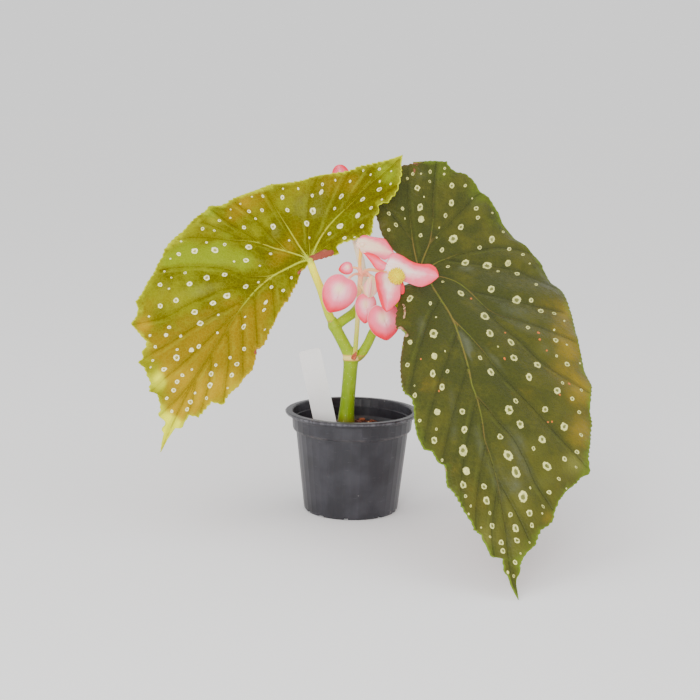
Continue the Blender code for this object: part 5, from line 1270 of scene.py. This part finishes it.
def stamenParts(looks):
    # short clubs on a ball: a small ellipsoid carried to each of many even directions, longest facing out
    index = np.arange(looks["count"]) + 0.5
    polar = np.arccos(1 - 2 * index / looks["count"])
    turn = np.pi * (1 + 5 ** 0.5) * index
    out = np.stack([np.cos(turn) * np.sin(polar), np.sin(turn) * np.sin(polar), np.cos(polar)], axis=1)
    side = np.cross(out, (0.21, 0.33, 0.92))
    side /= np.linalg.norm(side, axis=1, keepdims=True)
    other = np.cross(out, side)
    wide, long = looks["anther"]
    club, quads, _ = ballPart((0, 0, 0), (wide, wide, long), 7, 9)
    draw = np.random.default_rng(4)
    reach = looks["radius"] - long + draw.uniform(-0.5, 0.1, looks["count"])
    points = (np.array(looks["centre"]) + out[:, None] * (reach[:, None, None] + club[None, :, 2:])
              + side[:, None] * club[None, :, :1] + other[:, None] * club[None, :, 1:2])
    core = ballPart(looks["centre"], (looks["radius"] - 1.5,) * 3, 16, 22)
    return joinParts([manyParts(points, quads, {}), core])


def stamenMaterial(name):
    s = Shader(name, {"Specular IOR Level": 0.1})
    grain = s.noise(s.place(), 0.9 * mm, 3.0)
    skin = s.mix(s.step(grain, 0.4, 0.65), (0.84, 0.75, 0.0), (0.82, 0.56, 0.0))
    return s.connect(skin, 0.6 + 0.1 * grain, grain, 0.1)


podLooks = {"centre": (10.4, -19.4, 153.4), "length": 15.0, "radius": 2.1, "wing": 5.2, "tilt": 6, "turn": 25}


def podPart(looks, rows=40, columns=120):
    # a spindle whose radius swells into three thin wings, widest low down
    lat = np.linspace(-1, 1, rows)[:, None]
    angle = anglesRound(columns)[None, :]
    ring = np.sqrt(np.maximum(0, 1 - lat ** 2))
    wing = np.maximum(0, np.cos(1.5 * angle) ** 2 - 0.62) / 0.38
    reach = ring * (looks["radius"] + looks["wing"] * wing ** 1.7 * (0.62 - 0.3 * lat) * ring)
    spindle = stacked(reach * np.cos(angle), reach * np.sin(angle), lat * looks["length"] / 2 + 0 * angle)
    tilt = Matrix.Rotation(math.radians(looks["tilt"]), 3, "Y")
    turn = Matrix.Rotation(math.radians(looks["turn"]), 3, "Z")
    grid = spindle @ np.array(tilt @ turn).T + np.array(looks["centre"])
    return closedPart(grid, petal=stacked(lat, wing, wing * ring))


def podMaterial(name):
    s = Shader(name, {"Subsurface Weight": 0.3, "Subsurface Scale": 0.003, "Specular IOR Level": 0.4})
    lat, _, rim = s.split(s.vector("petal"))
    soft = s.noise(s.place(), 3 * mm, 2.0)
    skin = s.layers(
        (1.0, 0.72, 0.50),
        (s.step(rim, 0.1, 0.9), (1.0, 0.46, 0.42)),
        (s.step(lat + soft - 0.5, 0.2, 0.9) * 0.7, (0.96, 0.72, 0.30)))
    return s.connect(skin, 0.4 + 0.1 * soft, soft, 0.12)


bractRow = ((-0.4, -6.3, 102.8), (1.9, -8.4, 108.6), (-0.25, -0.93, -0.25), 3.2, 0.5, 0.3, (0.3, 0.9))


def bractMaterial(name):
    s = Shader(name, {"Roughness": 0.6})
    grain = s.noise(s.place(), 1.2 * mm, 3.0)
    return s.connect(s.mix(grain, (0.62, 0.16, 0.06), (0.36, 0.05, 0.02)), None, grain, 0.15)


# Potting mix

# Heaps are x, y, radius and height, and humps are height, width and seed. No chip lies on the stem or label.
# A chip has the small one's half sizes and up to the big one's on top.
soilLooks = {"level": 53.0, "radius": 35.6, "bottom": 3.1, "bottomRadius": 27.0, "chips": 520,
             "rings": 70, "around": 200, "stem": (-4.4, 0.0, 6.6), "label": (-12.5, 5.2, 8.2, 1.6),
             "humps": [(1.3, 7.0, 1), (0.9, 2.4, 2), (0.45, 1.1, 3)], "dome": 0.8,
             "heaps": [(-3.0, 2.0, 11.0, 5.0), (5.5, 15.0, 6.5, 4.0), (-12.0, 1.0, 4.0, 2.5)],
             "smallChip": (0.8, 0.5, 0.4), "bigChip": (2.9, 1.5, 0.9), "knob": 0.34, "tilt": 0.6}


def plugPart(looks):
    # a rough round top over a plug with a plain wall
    reach = np.linspace(0, 1, looks["rings"])[:, None] * (looks["radius"] - 0.8)
    angle = anglesRound(looks["around"])[None, :]
    flat = stacked(reach * np.cos(angle), reach * np.sin(angle))
    height = looks["level"]
    for hump, size, seed in looks["humps"]:
        height = height + hump * softNoise(flat, size, seed)
    height = height + looks["dome"] * (1 - reach / looks["radius"])
    height = height + zoneField(flat.reshape(-1, 2), looks["heaps"]).reshape(height.shape)
    top = np.concatenate([flat, height[..., None]], axis=-1)
    wall = [stacked(r * np.cos(angle[0]), r * np.sin(angle[0]), z) for r, z in (
        (looks["radius"], looks["level"] - 2.5), (looks["bottomRadius"] + 1.5, looks["bottom"] + 1.6),
        (looks["bottomRadius"], looks["bottom"]), (0.0, looks["bottom"]))]
    grid = np.concatenate([top, np.array(wall)], axis=0)
    return closedPart(grid, bark=np.zeros(grid.shape[:2]))


def chipsPart(looks):
    # bark chips: flattened balls, knobbled by noise, turned at random and strewn over the top
    draw = np.random.default_rng(11)
    count = looks["chips"]
    where = np.sqrt(draw.uniform(0, 1, count)) * (looks["radius"] - 3.0)
    turn = draw.uniform(0, 2 * np.pi, count)
    px, py = where * np.cos(turn), where * np.sin(turn)
    stemX, stemY, stemR = looks["stem"]
    labelX, labelY, halfX, halfY = looks["label"]
    besideLabel = (np.abs(px - labelX) < halfX + 1) & (np.abs(py - labelY) < halfY + 1)
    clear = (np.hypot(px - stemX, py - stemY) > stemR + 1.2) & ~besideLabel
    px, py = px[clear], py[clear]
    middles = np.column_stack([px, py])
    count = len(px)
    big = draw.uniform(0, 1, count) ** 3
    size = looks["smallChip"] + np.outer(big, looks["bigChip"])
    size = size * draw.uniform(0.8, 1.2, (count, 3))
    ball, quads, _ = ballPart((0, 0, 0), (1, 1, 1), 7, 9)
    knob = 1 + looks["knob"] * softNoise(ball[None] * 1.1 + np.arange(count)[:, None, None] * 3.7, 0.9)
    local = ball[None] * knob[..., None] * size[:, None]
    yaw, roll = draw.uniform(0, 2 * np.pi, count), draw.uniform(-looks["tilt"], looks["tilt"], count)
    cr, sr, cy, sy = (f[:, None] for f in (np.cos(roll), np.sin(roll), np.cos(yaw), np.sin(yaw)))
    lx, ly = local[..., 0], local[..., 1] * cr - local[..., 2] * sr
    lz = local[..., 1] * sr + local[..., 2] * cr
    hump, width, seed = looks["humps"][0]
    pz = looks["level"] + 0.6 + hump * softNoise(middles, width, seed) + 0.4 * big
    pz += zoneField(middles, looks["heaps"])
    points = stacked(px[:, None] + lx * cy - ly * sy, py[:, None] + lx * sy + ly * cy, pz[:, None] + lz)
    return manyParts(points, quads, {"bark": np.repeat(draw.uniform(0.2, 1.0, count), len(ball))})


def soilMaterial(name):
    # dark earth, and chips whose bark number picks a brown
    s = Shader(name, {"Specular IOR Level": 0.25})
    place = s.place()
    bark = s.number("bark")
    grain = s.noise(place, 0.8 * mm, 5.0, 0.65)
    fibre = s.noise(place, 2.5 * mm, 3.0)
    earth = s.mix(s.step(grain, 0.42, 0.62), colour(34, 22, 18), colour(84, 52, 36))
    chip = s.ramp(bark, [(0.2, colour(58, 30, 20)), (0.5, colour(122, 62, 38)), (0.78, colour(150, 84, 52)),
                         (0.93, colour(108, 58, 40)), (1.0, colour(206, 168, 124))])
    chip = s.mix(s.step(fibre + 0.4 * grain, 0.6, 0.85) * 0.6, chip, colour(52, 30, 22))
    return s.connect(s.mix(s.step(bark, 0.05, 0.15), earth, chip), 0.85 + 0.1 * grain, grain, 0.5)


for name, node, part, makeMaterial in (
        ("stamenBoss", "open_flower_stamens", stamenParts(stamenLooks), stamenMaterial),
        ("seedPod", "seed_pod", podPart(podLooks), podMaterial),
        ("driedBract", "bract", tepalPart(*bractRow, rows=16, columns=10, thickness=0.5), bractMaterial),
        ("pottingMix", "soil", joinParts([plugPart(soilLooks), chipsPart(soilLooks)]), soilMaterial)):
    dress(makePiece(name, *part), makeMaterial(name), node)
    print("made", name)


# Pot and label keep their solids and get better materials

def potMaterial(name):
    # charcoal plastic: faint upright drag marks, fine grain, pale dust in the step, scuffs, a few specks, and
    # a painted highlight as a pale streaked line along the lip
    s = Shader(name, {"Specular IOR Level": 0.42})
    place = s.place()
    x, y, z = s.split(place)
    drag = s.noise(s.combine(x, y, z * 0.05), 2.2 * mm, 3.0, 0.6)
    cloud = s.noise(place, 18 * mm, 4.0, 0.55)
    grain = s.noise(place, 0.5 * mm, 2.0)
    speck = s.fall(s.cells(place, 7.5 * mm), 0.035, 0.06) * s.step(s.noise(place, 11 * mm, 1.0), 0.52, 0.6)
    scuffs = s.step(s.noise(s.combine(x * 0.5, y * 0.5, z * 2.5), 3.5 * mm, 5.0, 0.7), 0.62, 0.72)
    dust = s.fall(abs(z - 54.8 * mm), 0.2 * mm, 1.6 * mm) * s.step(cloud, 0.4, 0.7)
    # the outer edge of the lip, which carries a painted highlight
    lip = s.step(s.length(s.combine(x, y, 0.0)), 44.0 * mm, 45.0 * mm)
    skin = s.layers(
        colour(37, 36, 41),
        (s.step(cloud + 0.1 * (drag - 0.5), 0.35, 0.7), colour(53, 52, 58)),
        (dust * 0.25, colour(150, 142, 134)),
        (scuffs * 0.16, colour(140, 138, 142)),
        (speck * 0.9, colour(226, 222, 214)),
        # painted highlight along the lip
        (lip * s.step(drag + 0.3 * grain, 0.45, 0.8) * 0.35, colour(150, 150, 156)))
    roughness = 0.37 + 0.10 * (cloud - 0.5) + 0.18 * scuffs + 0.3 * speck + 0.02 * drag - 0.14 * lip
    return s.connect(skin, roughness, grain * 0.3 + drag * 0.1 + scuffs * 0.3, 0.08)


def labelMaterial(name):
    # white plastic with faint smears, soiled where it leaves the mix
    s = Shader(name, {"Specular IOR Level": 0.4})
    place = s.place()
    grain = s.noise(place, 0.7 * mm, 2.0)
    smear = s.noise(place, 9 * mm, 4.0, 0.6)
    z = s.split(place)[2]
    skin = s.layers(
        colour(250, 250, 250),
        (s.step(smear, 0.5, 0.8) * 0.3, colour(232, 230, 224)),
        (s.fall(z + 3 * mm * smear, 55 * mm, 58.5 * mm), colour(150, 126, 102)))
    return s.connect(skin, 0.38 + 0.1 * grain, grain, 0.03)


for node, material in (("pot", potMaterial("charcoalPlastic")),
                       ("plant_label", labelMaterial("labelPlastic"))):
    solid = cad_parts[node]
    solid.data.materials.clear()
    solid.data.materials.append(material)
print("dressed pot and label")


# Floor, light and camera, in metres

floorLooks = {"half": 12.0, "level": -0.0002,
              "skin": {"Roughness": 0.9, "Specular IOR Level": 0.0, "Base Color": (0.94, 0.935, 0.93, 1.0),
                       "Emission Color": (1.0, 1.0, 1.0, 1.0), "Emission Strength": 0.08}}
# a panel is its place, what it is turned to, its width and its power in watts
panels = {
    "frontPanel": ((-0.25, -1.6, 0.5), (0.0, 0.0, 0.14), 0.6, 20.0),
    "keyPanel": ((-0.7, -0.7, 1.5), (0.0, 0.0, 0.12), 0.8, 4.0),
    "sidePanel": ((1.2, -0.7, 1.0), (0.05, -0.05, 0.12), 1.0, 2.0),
}
skyStrength = 1.15


def makeFloor(looks):
    half, level = looks["half"], looks["level"]
    mesh = bpy.data.meshes.new("floor")
    mesh.from_pydata([(x * half, y * half, level) for x, y in ((-1, -1), (1, -1), (1, 1), (-1, 1))],
                     [], [(0, 1, 2, 3)])
    mesh.materials.append(Shader("floor", looks["skin"]).material)
    floor = putInScene("floor", mesh)


def makeLight(name, spot, target, size, power):
    data = bpy.data.lights.new(name, "AREA")
    data.shape = "SQUARE"
    data.size = size
    data.energy = power
    light = putInScene(name, data)
    light.location = spot
    light.rotation_euler = (Vector(target) - Vector(spot)).to_track_quat("-Z", "Y").to_euler()


def makeSky(strength):
    world = bpy.data.worlds.new("studio")
    world.use_nodes = True
    sky = world.node_tree.nodes["Background"].inputs
    sky["Color"].default_value = (1.0, 1.0, 1.0, 1.0)
    sky["Strength"].default_value = strength
    bpy.context.scene.world = world


def makeCamera(looks):
    data = bpy.data.cameras.new("camera")
    data.sensor_width = looks["sensor"]
    data.lens = looks["focal"] * looks["sensor"] / looks["picture"]
    data.clip_start = looks["nearest"]
    camera = putInScene("camera", data)
    tilt = Matrix.Rotation(math.radians(90 - looks["pitchDown"]), 4, "X")
    roll = Matrix.Rotation(math.radians(looks["roll"]), 4, "Z")
    camera.matrix_world = Matrix.Translation(Vector(looks["place"]) * mm) @ (tilt @ roll)
    bpy.context.scene.camera = camera


makeFloor(floorLooks)
for name, panel in panels.items():
    makeLight(name, *panel)
makeSky(skyStrength)
makeCamera(cameraLooks)
print("made floor, light and camera")
